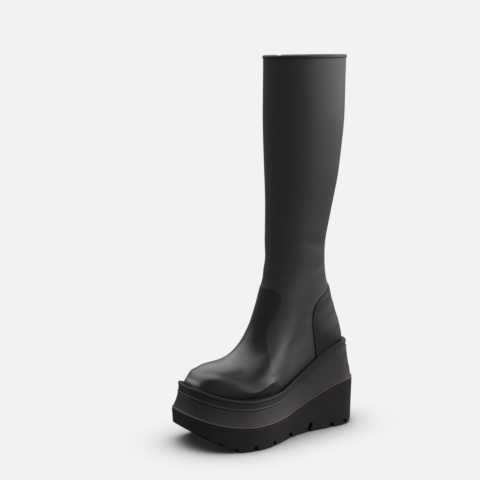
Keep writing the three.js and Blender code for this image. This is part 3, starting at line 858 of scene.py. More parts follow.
def nickel(name, colour):
    """Black nickel: brushed, with paler wear in spots and fine scratches."""
    made = Finish(name, roughness=0.3, metallic=0.9)
    brushed = made.noise(1400, detail=3, place=made.stretched(1.0, 1.0, 0.12))
    worn = made.noise(420, detail=4).above(0.62, 0.07)
    return made.feed(
        Base_Color=made.tint(worn, colour, (0.3, 0.29, 0.28)),
        Roughness=0.22 + brushed * 0.2 + worn * 0.1,
        Metallic=0.85 + worn * 0.1,
        Normal=made.bump(brushed, 0.02 * MM, 0.6),
    )


shaft_leather = leather("shaft_leather", shade(BOOT_BLACK, 1.4), 0.46, 1100, 0.05 * MM, 0.5, shine=0.8)
vamp_leather = leather("vamp_leather", VAMP_BLACK, 0.29, 1000, 0.05 * MM, 0.6, coat=0.35)
counter_leather = leather("counter_leather", shade(BOOT_BLACK, 1.3), 0.47, 1050, 0.05 * MM, 0.5, shine=0.28)
binding_leather = leather("binding_leather", BOOT_BLACK, 0.42, 1300, 0.04 * MM, 0.4)
edge_paint = leather("edge_paint", shade(BOOT_BLACK, 0.7), 0.55, 900, 0.04 * MM, 0.2)
shaft_lining = lining("shaft_lining", LINING_BLACK, 620)
insole_cover = lining("insole_cover", shade(LINING_BLACK, 1.25), 480)
gore_cloth = woven("gore_cloth", (0.0135, 0.0125, 0.014), 66, 90, roughness=0.62)
tape_cloth = woven("tape_cloth", (0.0075, 0.007, 0.008), 11, 560, roughness=0.85)
coil_nylon = nylon("coil_nylon", (0.011, 0.0105, 0.0115))
slider_nickel = nickel("slider_nickel", METAL_BLACK)
waxed_thread = thread("waxed_thread", THREAD_BLACK)
tread_rubber = rubber("tread_rubber", RUBBER_BLACK, 0.66, 1500, worn_below=5 * MM, shine=0.12)
# The midsole and welt finishes paint a paler highlight along their beads' crests.
midsole_skin = rubber("midsole_skin", MIDSOLE_BLACK, 0.5, 1900, wear_and_highlight=0.8)
welt_rubber = rubber("welt_rubber", shade(MIDSOLE_BLACK, 0.75), 0.5, 1700, shine=0.26, wear_and_highlight=0.5)

# ---- Upper: one sleeve of leather with its lining; slot for the zip and window for the gore ----
# Columns from the toe over the outer side to the heel, then to the gore's back and front edges, to the
# zip's back and front edges, and on to the toe.
COLUMN_COUNTS = [88, 13, 34, 8, 4, 41]
FOOT_ROW_STEP = 2.4 * MM
SHAFT_ROW_STEP = 3.2 * MM
FOOT_ROWS_END = 0.36
GORE_SLOPE_ROWS = 16


def zip_edges(level):
    """Turns of the slot's back and front edges at each level."""
    z = upper_at(level, angle_at_y(level, zip_y(0.2), INNER))[..., 2]
    for _ in range(3):
        z = upper_at(level, angle_at_y(level, zip_y(z), INNER))[..., 2]
    back = turn_of(angle_at_y(level, zip_y(z) + SLOT, INNER))
    front = turn_of(angle_at_y(level, zip_y(z) - SLOT, INNER))
    return back, front


gore_foot_level = float(level_at(GORE_FRONT, GORE_FOOT_FRONT, INNER)[0])
gore_foot_back_level = float(level_at(GORE_BACK, GORE_FOOT_BACK, INNER)[0])
zip_foot_level = float(level_at(zip_y(ZIP_FOOT), ZIP_FOOT, INNER)[0])


def gore_edges(level):
    """Turns of the gore's back and front edges; below the gore they run straight on down."""
    held = np.maximum(level, gore_foot_level)
    back = turn_of(angle_at_y(held, np.full(np.shape(level), GORE_BACK), INNER))
    front = turn_of(angle_at_y(held, np.full(np.shape(level), GORE_FRONT), INNER))
    return back, front


def upper_levels():
    """Levels of the sleeve's rows, close enough together on the foot, with one at each opening's foot."""
    fine = np.linspace(0, 1, 1500)
    front = upper_at(fine, np.zeros(fine.shape))
    back = upper_at(fine, np.full(fine.shape, math.pi))
    length = (length_along(front) + length_along(back)) / 2
    stops = [0, FEATHER_LEVEL, zip_foot_level, FOOT_ROWS_END, gore_foot_level, 1]
    levels = [np.array([0.0])]
    for start, end in zip(stops, stops[1:]):
        reach = np.interp([start, end], fine, length)
        step = FOOT_ROW_STEP if end <= FOOT_ROWS_END else SHAFT_ROW_STEP
        count = max(1, round((reach[1] - reach[0]) / step))
        levels.append(np.interp(np.linspace(*reach, count + 1)[1:], length, fine))
    levels = np.concatenate(levels)
    levels[np.abs(levels - gore_foot_level).argmin()] = gore_foot_level
    levels[np.abs(levels - zip_foot_level).argmin()] = zip_foot_level
    return levels


sleeve_levels = upper_levels()
sleeve_rows = len(sleeve_levels) - 1
sleeve_columns = sum(COLUMN_COUNTS)
column_stops = np.concatenate([[0], np.cumsum(COLUMN_COUNTS)])
zip_foot_row = int(np.abs(sleeve_levels - zip_foot_level).argmin())
gore_foot_row = int(np.abs(sleeve_levels - gore_foot_level).argmin())


def sleeve_place(u, v):
    """Level and angle of a place on the sleeve, whose columns and rows follow the openings' edges."""
    row = np.rint(v * sleeve_rows).astype(int)
    level = sleeve_levels[row]
    column = u * sleeve_columns
    gore_back, gore_front = gore_edges(level)
    zip_back, zip_front = zip_edges(level)
    ends = [np.zeros(level.shape), np.full(level.shape, 0.5), gore_back, gore_front, zip_back, zip_front]
    ends.append(np.ones(level.shape))
    turn = np.zeros(level.shape)
    for number, (start, end) in enumerate(zip(ends, ends[1:])):
        first, last = column_stops[number], column_stops[number + 1]
        inside = (column >= first - 1e-6) & (column <= last + 1e-6)
        turn = np.where(inside, mix(start, end, clamp((column - first) / (last - first))), turn)
    over_gore = clamp((column_stops[3] - column) / (column_stops[3] - column_stops[2]))
    beside = np.where(column < column_stops[2], clamp((column - column_stops[1]) / COLUMN_COUNTS[1]), 1)
    slope = (gore_foot_back_level - gore_foot_level) * over_gore * ease(beside)
    near_foot = clamp(1 - np.abs(row - gore_foot_row) / GORE_SLOPE_ROWS)
    return level + slope * near_foot * (column > column_stops[1]), angle_of(turn)


SEAM_WIDTH = 0.9 * MM
counter_top_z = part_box("heel_counter")[1].z


def edge_roll(distance):
    """A folded leather edge: it swells a little, then drops at the fold."""
    return 0.25 * MM * bell(distance, 2.2 * MM, 1.4 * MM) - 0.45 * MM * bell(distance, 0, 0.7 * MM)


def sleeve_leather(u, v):
    level, angle = sleeve_place(u, v)
    plain = upper_at(level, angle)
    back_seam = bell(plain[:, 0] - HEEL_LINE, 0, SEAM_WIDTH) * (np.cos(angle) < 0)
    lift = -0.5 * MM * back_seam * ease((plain[:, 2] - counter_top_z + 8 * MM) / (6 * MM))
    across_zip = plain[:, 1] - zip_y(plain[:, 2])
    from_slot = np.maximum(np.abs(across_zip) - SLOT, 0)
    on_zip = (np.sin(angle) < 0) & (plain[:, 2] > ZIP_FOOT - 3 * MM)
    lift = lift + np.where(on_zip, edge_roll(from_slot), 0)
    return leather_at(level, angle, lift)


def sleeve_keep(u, v):
    column = u * sleeve_columns
    row = v * sleeve_rows
    in_slot = column_stops[4] < column < column_stops[5] and row > zip_foot_row
    in_gore = column_stops[2] < column < column_stops[3] and row > gore_foot_row
    return not (in_slot or in_gore)


sleeve = grid_mesh(sleeve_columns, sleeve_rows, sleeve_leather, keep=sleeve_keep)
bmesh.ops.remove_doubles(sleeve, verts=sleeve.verts, dist=1e-6)
rim_distance(sleeve)
upper_sleeve = piece(
    "upper_sleeve", sleeve, shaft_leather, ["upper"], others=(shaft_lining, edge_paint)
)
thicken(upper_sleeve, WALL, inside=1, rim=2)
round_edges(upper_sleeve, 0.5 * MM)


# ---- Patches sewn on the upper: their edges are given as [y, z] on a side, and filled across ----
def spline(points, count, power=0.5):
    """Even points on a smooth curve through the given ones."""
    points = np.array(points, float)
    steps = np.linalg.norm(np.diff(points, axis=0), axis=1) ** power
    knots = np.concatenate([[0], np.cumsum(steps)])
    slopes = np.gradient(points, knots, axis=0)
    fine = np.linspace(0, knots[-1], 400)
    row = np.clip(np.searchsorted(knots, fine) - 1, 0, len(knots) - 2)
    span = (knots[row + 1] - knots[row])[:, None]
    share = (fine[:, None] - knots[row][:, None]) / span
    start, end = points[row], points[row + 1]
    curve = mix(start, end, ease(share))
    curve += span * share * (1 - share) * ((1 - share) * slopes[row] - share * slopes[row + 1])
    length = length_along(curve)
    return table_at(np.linspace(0, length[-1], count), length, curve)


class Patch:
    """A panel between four edges, each a line of (turn, level); turns may run below 0 or above 1."""

    def __init__(self, bottom, top, start, end):
        self.edges = [np.array(edge, float) for edge in (bottom, top, start, end)]

    def along(self, edge, share):
        line = self.edges[edge]
        return table_at(share, np.linspace(0, 1, len(line)), line)

    def at(self, u, v):
        """Level and angle inside the panel, from its four edges."""
        bottom, top = self.along(0, u), self.along(1, u)
        start, end = self.along(2, v), self.along(3, v)
        u = np.asarray(u)[..., None]
        v = np.asarray(v)[..., None]
        corners = [self.edges[0][0], self.edges[0][-1], self.edges[1][0], self.edges[1][-1]]
        flat = (1 - u) * (1 - v) * corners[0] + u * (1 - v) * corners[1]
        flat = flat + (1 - u) * v * corners[2] + u * v * corners[3]
        spot = mix(bottom, top, v) + mix(start, end, u) - flat
        return spot[..., 1], angle_of(spot[..., 0])

    def outline(self, inset_u, inset_v):
        """A line of (level, angle) inside the edges: along the start edge, the top and the end edge."""
        steps = np.linspace(0, 1, 500)
        flat = np.ones(500)
        u = [flat * inset_u, mix(inset_u, 1 - inset_u, steps), flat * (1 - inset_u)]
        v = [mix(0, 1 - inset_v, steps), flat * (1 - inset_v), mix(1 - inset_v, 0, steps)]
        return self.at(np.concatenate(u), np.concatenate(v))


def turned_line(points, side, offset=0.0):
    """(turn, level) for points given as [y, z] in millimetres on one side."""
    points = np.array(points, float) * MM
    level, angle = level_at(points[:, 0] + offset, points[:, 1], side)
    turn = turn_of(angle)
    return np.stack([np.where((side < 0) & (turn < 0.3), turn + 1, turn), level], axis=1)


def foot_spot(y, side):
    """(turn, level) of a panel's corner at the welt."""
    return [float(turn_of(angle_at_y(PATCH_FOOT, y, side))), PATCH_FOOT]


PATCH_FOOT = 0.012
VAMP_TOP_LEVEL = 0.46

VAMP_OUTER = [(11, 189), (10.5, 183), (8, 175), (3, 163), (-5, 148), (-12, 130), (-16, 112), (-19, 92)]
VAMP_INNER = [(9, 191), (13, 186), (16, 175), (17, 160), (17, 145), (17, 129), (17, 112), (17, 96)]


def vamp_edge(points, foot_y, side):
    """The vamp's edge on one side, from the welt up."""
    return np.concatenate([[foot_spot(foot_y, side)], turned_line(spline(points, 40), side)[::-1]])


vamp_end = vamp_edge(VAMP_OUTER, -21 * MM, OUTER)
vamp_start = vamp_edge(VAMP_INNER, 17 * MM, INNER)
vamp_start[:, 0] -= 1
vamp_top_middle = np.array([
    [turn_of(angle_at_y(VAMP_TOP_LEVEL, 3 * MM, INNER)) - 1, 0.4515],
    [0.0, 0.4575],
    [turn_of(angle_at_y(VAMP_TOP_LEVEL, 3 * MM, OUTER)), 0.4515],
])
vamp_top = spline(np.concatenate([vamp_start[-1:], vamp_top_middle, vamp_end[-1:]]), 60, power=1)
vamp_bottom = np.linspace(vamp_start[0], vamp_end[0], 60)


def even_edge(line, count=60):
    """The same (turn, level) line, with even steps over the leather."""
    length = length_along(upper_at(line[:, 1], angle_of(line[:, 0])))
    return table_at(np.linspace(0, length[-1], count), length, line)


vamp = Patch(even_edge(vamp_bottom), even_edge(vamp_top), even_edge(vamp_start), even_edge(vamp_end))

COUNTER_EDGE = [
    (94, 190.5), (80, 184.5), (65, 177), (56, 167.5), (51.8, 152), (52.5, 132), (55, 112), (57, 98),
]
COUNTER_FOOT = 58 * MM
COUNTER_SLANT = 4.5 * MM


def counter_edges():
    """The counter's front edges and its top, from the corner where the edge turns down to the welt."""
    corner = 52
    line = spline(COUNTER_EDGE, 90)
    sides = {}
    foot = {}
    for side in (OUTER, INNER):
        slant = COUNTER_SLANT * side
        sides[side] = turned_line(line, side, offset=slant)
        foot[side] = np.concatenate([[foot_spot(COUNTER_FOOT + slant, side)], sides[side][corner:][::-1]])
    peak = np.array([[0.5, float(level_at(93 * MM, 192 * MM, OUTER)[0])]])
    top = np.concatenate([sides[OUTER][: corner + 1][::-1][:-3], peak, sides[INNER][3 : corner + 1]])
    return foot[OUTER], foot[INNER], top


counter_start, counter_end, counter_top = counter_edges()
counter_bottom = np.linspace(counter_start[0], counter_end[0], 60)
counter = Patch(
    even_edge(counter_bottom), even_edge(counter_top, 90), even_edge(counter_start), even_edge(counter_end)
)


VAMP_STITCHES = (1.9 * MM,)
COUNTER_STITCHES = (1.9 * MM, 4.1 * MM)


SEAM_DEPTH = 0.28 * MM
SEAM_SPREAD = 0.8 * MM
EDGE_DROP = 0.3 * MM
EDGE_SPREAD = 0.6 * MM


def seam_press(distance, insets):
    """How stitches draw the leather in: a soft trough along each row of them, and a dropped edge."""
    troughs = sum(-SEAM_DEPTH * bell(distance, inset, SEAM_SPREAD) for inset in insets)
    return troughs - EDGE_DROP * bell(distance, 0, EDGE_SPREAD)


def sewn_panel(name, patch, columns, rows, lift, finish, thickness, insets, nodes=()):
    """A panel of leather lying on the upper, its edges turned down and drawn in along the stitches."""
    panel = grid_mesh(columns, rows, lambda u, v: leather_at(*patch.at(u, v), lift))
    rim = rim_distance(panel)
    spots = np.array([vert.co[:] for vert in panel.verts])
    flat = grid_mesh(columns, rows, lambda u, v: upper_out(*patch.at(u, v)))
    outs = np.array([vert.co[:] for vert in flat.verts])
    flat.free()
    distance = np.array([vert[rim] for vert in panel.verts])
    moved = seam_press(distance, insets)
    for vert, spot in zip(list(panel.verts), spots + outs * moved[:, None]):
        vert.co = spot
    made = piece(name, panel, finish, nodes, others=(edge_paint,))
    thicken(made, thickness, rim=1)
    round_edges(made, 0.35 * MM)
    return made


sewn_panel(
    "vamp_panel", vamp, 150, 130, 0.75 * MM, vamp_leather, 1.1 * MM, VAMP_STITCHES
)
sewn_panel(
    "counter_panel", counter, 110, 60, 1.7 * MM, counter_leather, 1.5 * MM,
    COUNTER_STITCHES, nodes=["heel_counter"],
)

# ---- Stitches ----
STITCH_LENGTH = 2.5 * MM
STITCH_PITCH = 3.1 * MM
STITCH_WIDTH = 0.62 * MM
stitch_pattern = small_ball("stitch_pattern", 6, 5)
stitches = bmesh.new()


def sew(level, angle, lift):
    """Adds a row of stitches on the leather, along a line of (level, angle)."""
    points = leather_at(level, angle, lift)
    outs = upper_out(level, angle)
    pitch, length, width = STITCH_PITCH, STITCH_LENGTH, STITCH_WIDTH
    reach = length_along(points)
    for place in np.arange(pitch / 2, reach[-1], pitch):
        spot = Vector(table_at(place, reach, points))
        ahead = Vector(table_at(place + pitch / 3, reach, points))
        behind = Vector(table_at(place - pitch / 3, reach, points))
        out = Vector(table_at(place, reach, outs)).normalized()
        run = (ahead - behind).normalized()
        side = out.cross(run).normalized()
        add_ball(stitches, stitch_pattern, spot, run * length / 2, side * width / 2, out * width * 0.4)


# A panel's own width and height turn an inset into a share of it.
for patch, insets, wide, high, lift in (
    (vamp, VAMP_STITCHES, 150 * MM, 150 * MM, 0.6 * MM),
    (counter, COUNTER_STITCHES, 125 * MM, 75 * MM, 1.5 * MM),
):
    for inset in insets:
        sew(*patch.outline(inset / wide, inset / high), lift)

ZIP_STITCH = SLOT + 1.9 * MM
zip_heights = np.linspace(ZIP_FOOT - 2.2 * MM, upper_high.z - 4 * MM, 700)
for side_step in (-1, 1):
    sew(*level_at(zip_y(zip_heights) + side_step * ZIP_STITCH, zip_heights, INNER), 0.1 * MM)
foot_y = np.linspace(-1, 1, 30) * ZIP_STITCH + zip_y(ZIP_FOOT)
sew(*level_at(foot_y, np.full(30, ZIP_FOOT - 2.4 * MM), INNER), 0.1 * MM)

GORE_STITCH = 1.8 * MM
for edge_y, low in ((GORE_FRONT - GORE_STITCH, GORE_FOOT_FRONT), (GORE_BACK + GORE_STITCH, GORE_FOOT_BACK)):
    heights = np.linspace(low - GORE_STITCH, upper_high.z - 4 * MM, 300)
    sew(*level_at(np.full(300, edge_y), heights, INNER), 0.05 * MM)
across = np.linspace(0, 1, 120)
gore_foot_z = mix(GORE_FOOT_FRONT, GORE_FOOT_BACK, across) - GORE_STITCH
sew(*level_at(mix(GORE_FRONT, GORE_BACK, across), gore_foot_z, INNER), 0.05 * MM)

BACK_STITCH = 2.4 * MM
HEEL_RADIUS = 31 * MM
back_heights = np.linspace(counter_top_z + 3 * MM, upper_high.z - 5 * MM, 300)
back_line = upper_at(sleeve_levels, np.full(len(sleeve_levels), math.pi))
back_levels = np.interp(back_heights, back_line[:, 2], sleeve_levels)
for side in (OUTER, INNER):
    sew(back_levels, math.pi - side * BACK_STITCH / HEEL_RADIUS * np.ones(300), 0.02 * MM)
bmesh.ops.recalc_face_normals(stitches, faces=stitches.faces)
piece("seam_stitches", stitches, waxed_thread)

# ---- Elastic gore: a sheet drawn into uneven upright puckers ----
GORE_COLUMNS = 132
GORE_ROWS = 60
GORE_TUCK = 1.56 * MM
GORE_TOP = upper_high.z - 2.2 * MM
GORE_HIGHEST = 499.6 * MM
rng = random.Random(7)
pucker_places = np.cumsum([0.0] + [0.085 + 0.045 * rng.random() for _ in range(9)])
pucker_places = 0.04 + 0.92 * pucker_places / pucker_places[-1]
pucker_drifts = [rng.uniform(-0.025, 0.025) for _ in pucker_places]
pucker_heights = [rng.uniform(0.7, 1.25) for _ in pucker_places]
pucker_phases = [rng.uniform(0, 6.28) for _ in pucker_places]


def pucker_lift(u, v):
    """Ridges of gathered cloth that wander a little and flatten at the sewn edges."""
    lift = np.zeros(np.shape(u))
    for place, drift, height, phase in zip(pucker_places, pucker_drifts, pucker_heights, pucker_phases):
        line = place + drift * (v - 0.5) + 0.012 * np.sin(5 * v + phase)
        ridge = bell(u, line, 0.021 + 0.006 * np.sin(3 * v + phase))
        lift = lift + 1.5 * MM * height * ridge * (0.72 + 0.28 * np.sin(4 * v + 2 * phase))
    sewn = ease(u / 0.045) * ease((1 - u) / 0.045) * ease(v / 0.07) * ease((1 - v) / 0.02)
    return lift * sewn


def gore_place(u, v):
    """The gore's cloth, just under the leather and tucked a little way behind the window's edges."""
    y = mix(GORE_BACK + GORE_TUCK, GORE_FRONT - GORE_TUCK, u)
    foot = mix(GORE_FOOT_BACK, GORE_FOOT_FRONT, u) - GORE_TUCK
    level, angle = level_at(y, np.minimum(mix(foot, GORE_TOP, v), GORE_HIGHEST), INNER)
    lift = -1.3 * MM + pucker_lift(u, v)
    return upper_at(level, angle) + upper_out(level, angle) * lift[:, None]


gore = grid_mesh(GORE_COLUMNS, GORE_ROWS, gore_place)
gore_panel = piece("gore_panel", gore, gore_cloth, ["elastic_gore"], others=(shaft_lining,))
thicken(gore_panel, 0.7 * MM, inside=1)

# ---- Zip: tape, coil teeth, slider and pull ----
def zip_frame(z, across, lift):
    """A point beside the zip's line, lifted off the leather's plain surface."""
    level, angle = level_at(zip_y(z) + across, z, INNER)
    return upper_at(level, angle) + upper_out(level, angle) * np.asarray(lift)[..., None]


def tape_place(u, v):
    """The zip's tape, under the leather and raised a little along its middle."""
    height = mix(ZIP_FOOT - 1.5 * MM, ZIP_TOP, v)
    return zip_frame(height, mix(1, -1, u) * (SLOT + 1.2 * MM), -1.5 * MM + 0.25 * MM * bell(u, 0.5, 0.16))


tape = grid_mesh(10, 240, tape_place)
zip_tape = piece("zip_tape_cloth", tape, tape_cloth, ["zip_tape"])
thicken(zip_tape, 0.55 * MM)

TOOTH_PITCH = 1.55 * MM
tooth_pattern = small_ball("tooth_pattern", 8, 5)
teeth = bmesh.new()
tooth_heights = np.arange(ZIP_FOOT + 3 * MM, slider_low.z + 3 * MM, TOOTH_PITCH / 2)
tooth_sides = np.where(np.arange(len(tooth_heights)) % 2 == 0, 1, -1)
tooth_spots = zip_frame(tooth_heights, tooth_sides * 0.75 * MM, -0.62 * MM)
tooth_levels, tooth_angles = level_at(zip_y(tooth_heights), tooth_heights, INNER)
tooth_outs = upper_out(tooth_levels, tooth_angles)
tooth_runs = unit(np.gradient(zip_frame(tooth_heights, 0, 0), axis=0))
for spot, out, run in zip(tooth_spots, tooth_outs, tooth_runs):
    out, run = Vector(out), Vector(run)
    side = out.cross(run).normalized()
    add_ball(teeth, tooth_pattern, Vector(spot), run * 0.36 * MM, side * 1.5 * MM, out * 0.5 * MM)
bmesh.ops.recalc_face_normals(teeth, faces=teeth.faces)
piece("zip_teeth", teeth, coil_nylon, ["zip_coil"])


def softened(node, name, width, body):
    """A CAD metal part with its doubles merged, flat faces joined and edges rounded."""
    mesh = bmesh.new()
    mesh.from_mesh(frame["nodes"][node].data)
    bmesh.ops.remove_doubles(mesh, verts=mesh.verts, dist=1e-6)
    bmesh.ops.dissolve_limit(mesh, angle_limit=math.radians(2), verts=mesh.verts, edges=mesh.edges)
    sharp = [edge for edge in mesh.edges if edge.is_manifold and edge.calc_face_angle() > math.radians(20)]
    bmesh.ops.bevel(
        mesh, geom=sharp, offset=width, segments=2, profile=0.5, material=-1, affect="EDGES",
        clamp_overlap=True,
    )
    bmesh.ops.triangulate(mesh, faces=[face for face in mesh.faces if len(face.verts) > 4])
    made = piece(name, mesh, slider_nickel, [node], body=body)
    made.data.set_sharp_from_angle(angle=math.radians(40))
    return made


softened("zip_slider", "slider_metal", 0.28 * MM, "boot")
softened("zip_pull", "pull_metal", 0.25 * MM, "zip_pull")

# ---- Collar: a narrow bound edge round the top, open at the zip ----
# The binding's section, as [mm outwards, mm up], and the middle that its ends are pinched towards.
BIND_SECTION = [
    (0.35, -3.6), (0.85, -3.3), (1.0, -2.2), (0.95, -1.0), (0.6, 0.1), (-0.2, 0.75), (-1.2, 0.95),
    (-2.2, 0.7), (-2.95, 0.0), (-3.2, -1.1), (-3.15, -2.4), (-2.9, -3.4), (-2.3, -3.5), (-1.2, -3.4),
    (-0.2, -3.4),
]
BIND_MIDDLE = (-1.1 * MM, -1.5 * MM)
COLLAR_LEVEL = 1.0
zip_back_turn, zip_front_turn = (float(value) for value in zip_edges(np.array(COLLAR_LEVEL)))


def binding_place(u, v):
    """The binding's skin: its section carried round the collar, from the zip's front to its back."""
    section_line = np.array(BIND_SECTION + BIND_SECTION[:1]) * MM
    out_by, up_by = section_line[np.rint(v * len(BIND_SECTION)).astype(int)].T
    pinch = ease(np.minimum(u, 1 - u) / 0.004 + 0.35)
    turn = mix(zip_front_turn - 1, zip_back_turn, u)
    angle = angle_of(turn)
    level = np.full(u.shape, COLLAR_LEVEL)
    out = upper_out(level, angle)
    out[:, 2] = 0
    middle_out, middle_up = BIND_MIDDLE
    wobble = 0.12 * MM * np.sin(turn * 90) * np.sin(turn * 37 + 1)
    shift = middle_out + (out_by - middle_out) * pinch + wobble
    point = upper_at(level, angle) + unit(out) * shift[:, None]
    point[:, 2] += middle_up + (up_by - middle_up) * pinch
    return point


binding = grid_mesh(300, len(BIND_SECTION), binding_place)
bmesh.ops.remove_doubles(binding, verts=binding.verts, dist=1e-6)
bmesh.ops.holes_fill(binding, edges=[edge for edge in binding.edges if edge.is_boundary], sides=40)
bmesh.ops.recalc_face_normals(binding, faces=binding.faces)
write_rim(binding, lambda spot: UNWORN)
piece("collar_binding", binding, binding_leather)

# ---- Sole: ribs once round the boot, skinned from the lowest to the highest ----
SOLE_COLUMNS = 300
sole_angles = angle_of(np.arange(SOLE_COLUMNS) / SOLE_COLUMNS)
CAP_SHARES = [0, 0.25, 0.5, 0.75, 0.9]


def lug_edge_height(y):
    return ridge_height(y) - GAP


def rims(rows, lower, upper):
    """Ribs of the sole's outline; rows are [share from the lower to the upper edge, mm up, mm set in]."""
    return [
        sole_at(sole_angles, inset * MM, between(lower, upper, share, up * MM)) for share, up, inset in rows
    ]


OUTSOLE_SIDE = [
    (0, 0.0, 2.3), (0, 0.35, 1.5), (0, 1.1, 1.05), (0, 2.2, 0.95), (0.3, 0, 0.75), (0.6, 0, 0.45),
    (0.8, 0, 0.2), (1, -2.6, 0.0), (1, -1.5, -0.1), (1, -0.7, 0.15), (1, -0.2, 0.7), (1, 0.0, 1.4),
]
top_rim = sole_at(sole_angles, 3 * MM, lug_edge_height)
outsole_ribs = cap_ribs(sole_at(sole_angles, 2.6 * MM, ground_height), CAP_SHARES)
outsole_ribs += rims(OUTSOLE_SIDE, ground_height, lug_edge_height)
outsole_ribs += [top_rim] + cap_ribs(top_rim, CAP_SHARES)[::-1]
outsole = piece("outsole_rubber", loft_mesh(outsole_ribs), tread_rubber, ["outsole"])

LUG_GAPS = [0.06, 0.12, 0.19, 0.29, 0.41, 0.545, 0.82, 0.905]
LUG_GAP_HEIGHT = 7 * MM
LUG_GAP_WIDTH = 6 * MM
LUG_GAP_REACH = 9 * MM
LUG_GAP_ROUND = 1.6 * MM
LUG_GAP_LEAN = math.radians(9)
LOW_LUG = 0.6
HEEL_BREAST = 0.665
BELOW = 12 * MM


def prism_cutter(cutters, outline, start_x, end_x, turn=0.0):
    """Adds a closed prism along X, of a [y, z] outline, turned about the upright line through its middle."""
    corners = [cutters.verts.new((start_x, y, z)) for y, z in outline]
    side = cutters.faces.new(corners)
    grown = bmesh.ops.extrude_face_region(cutters, geom=[side])["geom"]
    moved = [part for part in grown if isinstance(part, bmesh.types.BMVert)]
    bmesh.ops.translate(cutters, verts=moved, vec=(end_x - start_x, 0, 0))
    if turn:
        middle = Vector(((start_x + end_x) / 2, np.mean([spot[0] for spot in outline]), 0))
        bmesh.ops.rotate(cutters, verts=corners + moved, cent=middle, matrix=Matrix.Rotation(turn, 3, "Z"))


def cut_with(made, cutters, name):
    """Takes closed cutting shapes out of a piece."""
    bmesh.ops.recalc_face_normals(cutters, faces=cutters.faces)
    tool = add_object(name, mesh_data(name, cutters))
    cut = made.modifiers.new("cut", "BOOLEAN")
    cut.operation = "DIFFERENCE"
    cut.solver = "EXACT"
    cut.use_self = True
    cut.object = tool
    bake_modifiers(made)
    bpy.data.objects.remove(tool)


def edge_x(y, side):
    """The sole's edge on one side at a place along its length."""
    share = y / SOLE_LENGTH + 0.5
    return float(sole_at(np.array(side * math.acos(1 - 2 * share)), 0.0, ground_height)[0])


gaps = bmesh.new()
for share in LUG_GAPS:
    y = (share - 0.5) * SOLE_LENGTH
    ground = float(ground_height(y))
    crown = ground + (LOW_LUG if share < GROUND_SPRING_END else 1) * LUG_GAP_HEIGHT
    half = LUG_GAP_WIDTH / 2
    wall = [
        (half - LUG_GAP_ROUND, crown), (half - 0.4 * MM, crown - 0.45 * LUG_GAP_ROUND),
        (half + 0.15 * MM, crown - LUG_GAP_ROUND), (half + 1.2 * MM, ground - BELOW),
    ]
    outline = [(y - along, z) for along, z in wall] + [(y + along, z) for along, z in wall[::-1]]
    for side in (OUTER, INNER):
        edge = edge_x(y, side)
        lean = LUG_GAP_LEAN * side * (1 if share < 0.5 else -1)
        prism_cutter(gaps, outline, edge - LUG_GAP_REACH, edge + LUG_GAP_REACH, turn=lean)
breast_y = (HEEL_BREAST - 0.5) * SOLE_LENGTH
breast = [(-6, -12), (5, -12), (5.4, 0), (9, 9), (9.2, 11.2), (7.8, 12.6), (5.4, 12.9), (3, 12)]
breast = [(breast_y + y * MM, z * MM) for y, z in breast]
prism_cutter(gaps, breast, -0.1, 0.1)
cut_with(outsole, gaps, "lug_gap_cutters")

# Tread grooves under the forefoot and the heel: how many, first y, pitch, reach to each side and swing.
TREAD = [(9, -62 * MM, 11.5 * MM, 27 * MM, SWING), (3, 64 * MM, 12 * MM, 19 * MM, 0.0)]
GROOVE_SECTION = [(-1.7, -12), (1.7, -12), (1.7, 0.6), (0.9, 2.4), (-0.9, 2.4), (-1.7, 0.6)]
grooves = bmesh.new()
for count, first, pitch, reach, swing in TREAD:
    for number in range(count):
        y = first + number * pitch
        outline = [(y + along * MM, up * MM) for along, up in GROOVE_SECTION]
        centre = HEEL_LINE + float(swing * bell(y / SOLE_LENGTH + 0.5, BALL_AT, 0.2))
        for side in (OUTER, INNER):
            start, end = sorted((centre + side * 1.2 * MM, centre + side * reach))
            prism_cutter(grooves, outline, start, end, turn=math.radians(22) * side)
cut_with(outsole, grooves, "tread_groove_cutters")
outsole.data.materials.clear()
outsole.data.materials.append(tread_rubber)
round_edges(outsole, 0.45 * MM, angle=38)
bake_modifiers(outsole)
outsole.data.set_sharp_from_angle(angle=math.radians(35))


# Midsole: a lip at its foot, a flared side with a slight hollow, and a ledge for the welt.
MIDSOLE_SIDE = [
    (0, 0.0, 1.6), (0, 0.15, 0.8), (0, 0.5, 0.35), (0, 1.1, 0.1), (0, 1.7, 0.3), (0, 2.35, 0.85),
    (0, 2.95, 1.5), (0, 3.7, 1.85), (0.3, 0, 2.85), (0.42, 0, 3.9), (0.55, 0, 4.85), (0.68, 0, 5.65),
    (0.8, 0, 6.25),
    (0.9, 0, 6.7), (1, -0.5, 7.05), (1, 0, 7.6),
]
BEAD_CREST = 1.1 * MM
deck_rim = feather_at(sole_angles, 0.0, deck_height)
midsole_ribs = cap_ribs(sole_at(sole_angles, 3 * MM, ridge_height), CAP_SHARES)
midsole_ribs += rims(MIDSOLE_SIDE, ridge_height, welt_foot_height)
midsole_ribs += [feather_at(sole_angles, 0.0, welt_foot_height), deck_rim]
midsole_ribs += cap_ribs(deck_rim, CAP_SHARES)[::-1]
midsole_mesh = loft_mesh(midsole_ribs)
# The distance from the bead's crest places a painted highlight along it.
crest_distance(midsole_mesh, lambda y: ridge_height(y) + BEAD_CREST)
piece("midsole_foam", midsole_mesh, midsole_skin, ["midsole"])

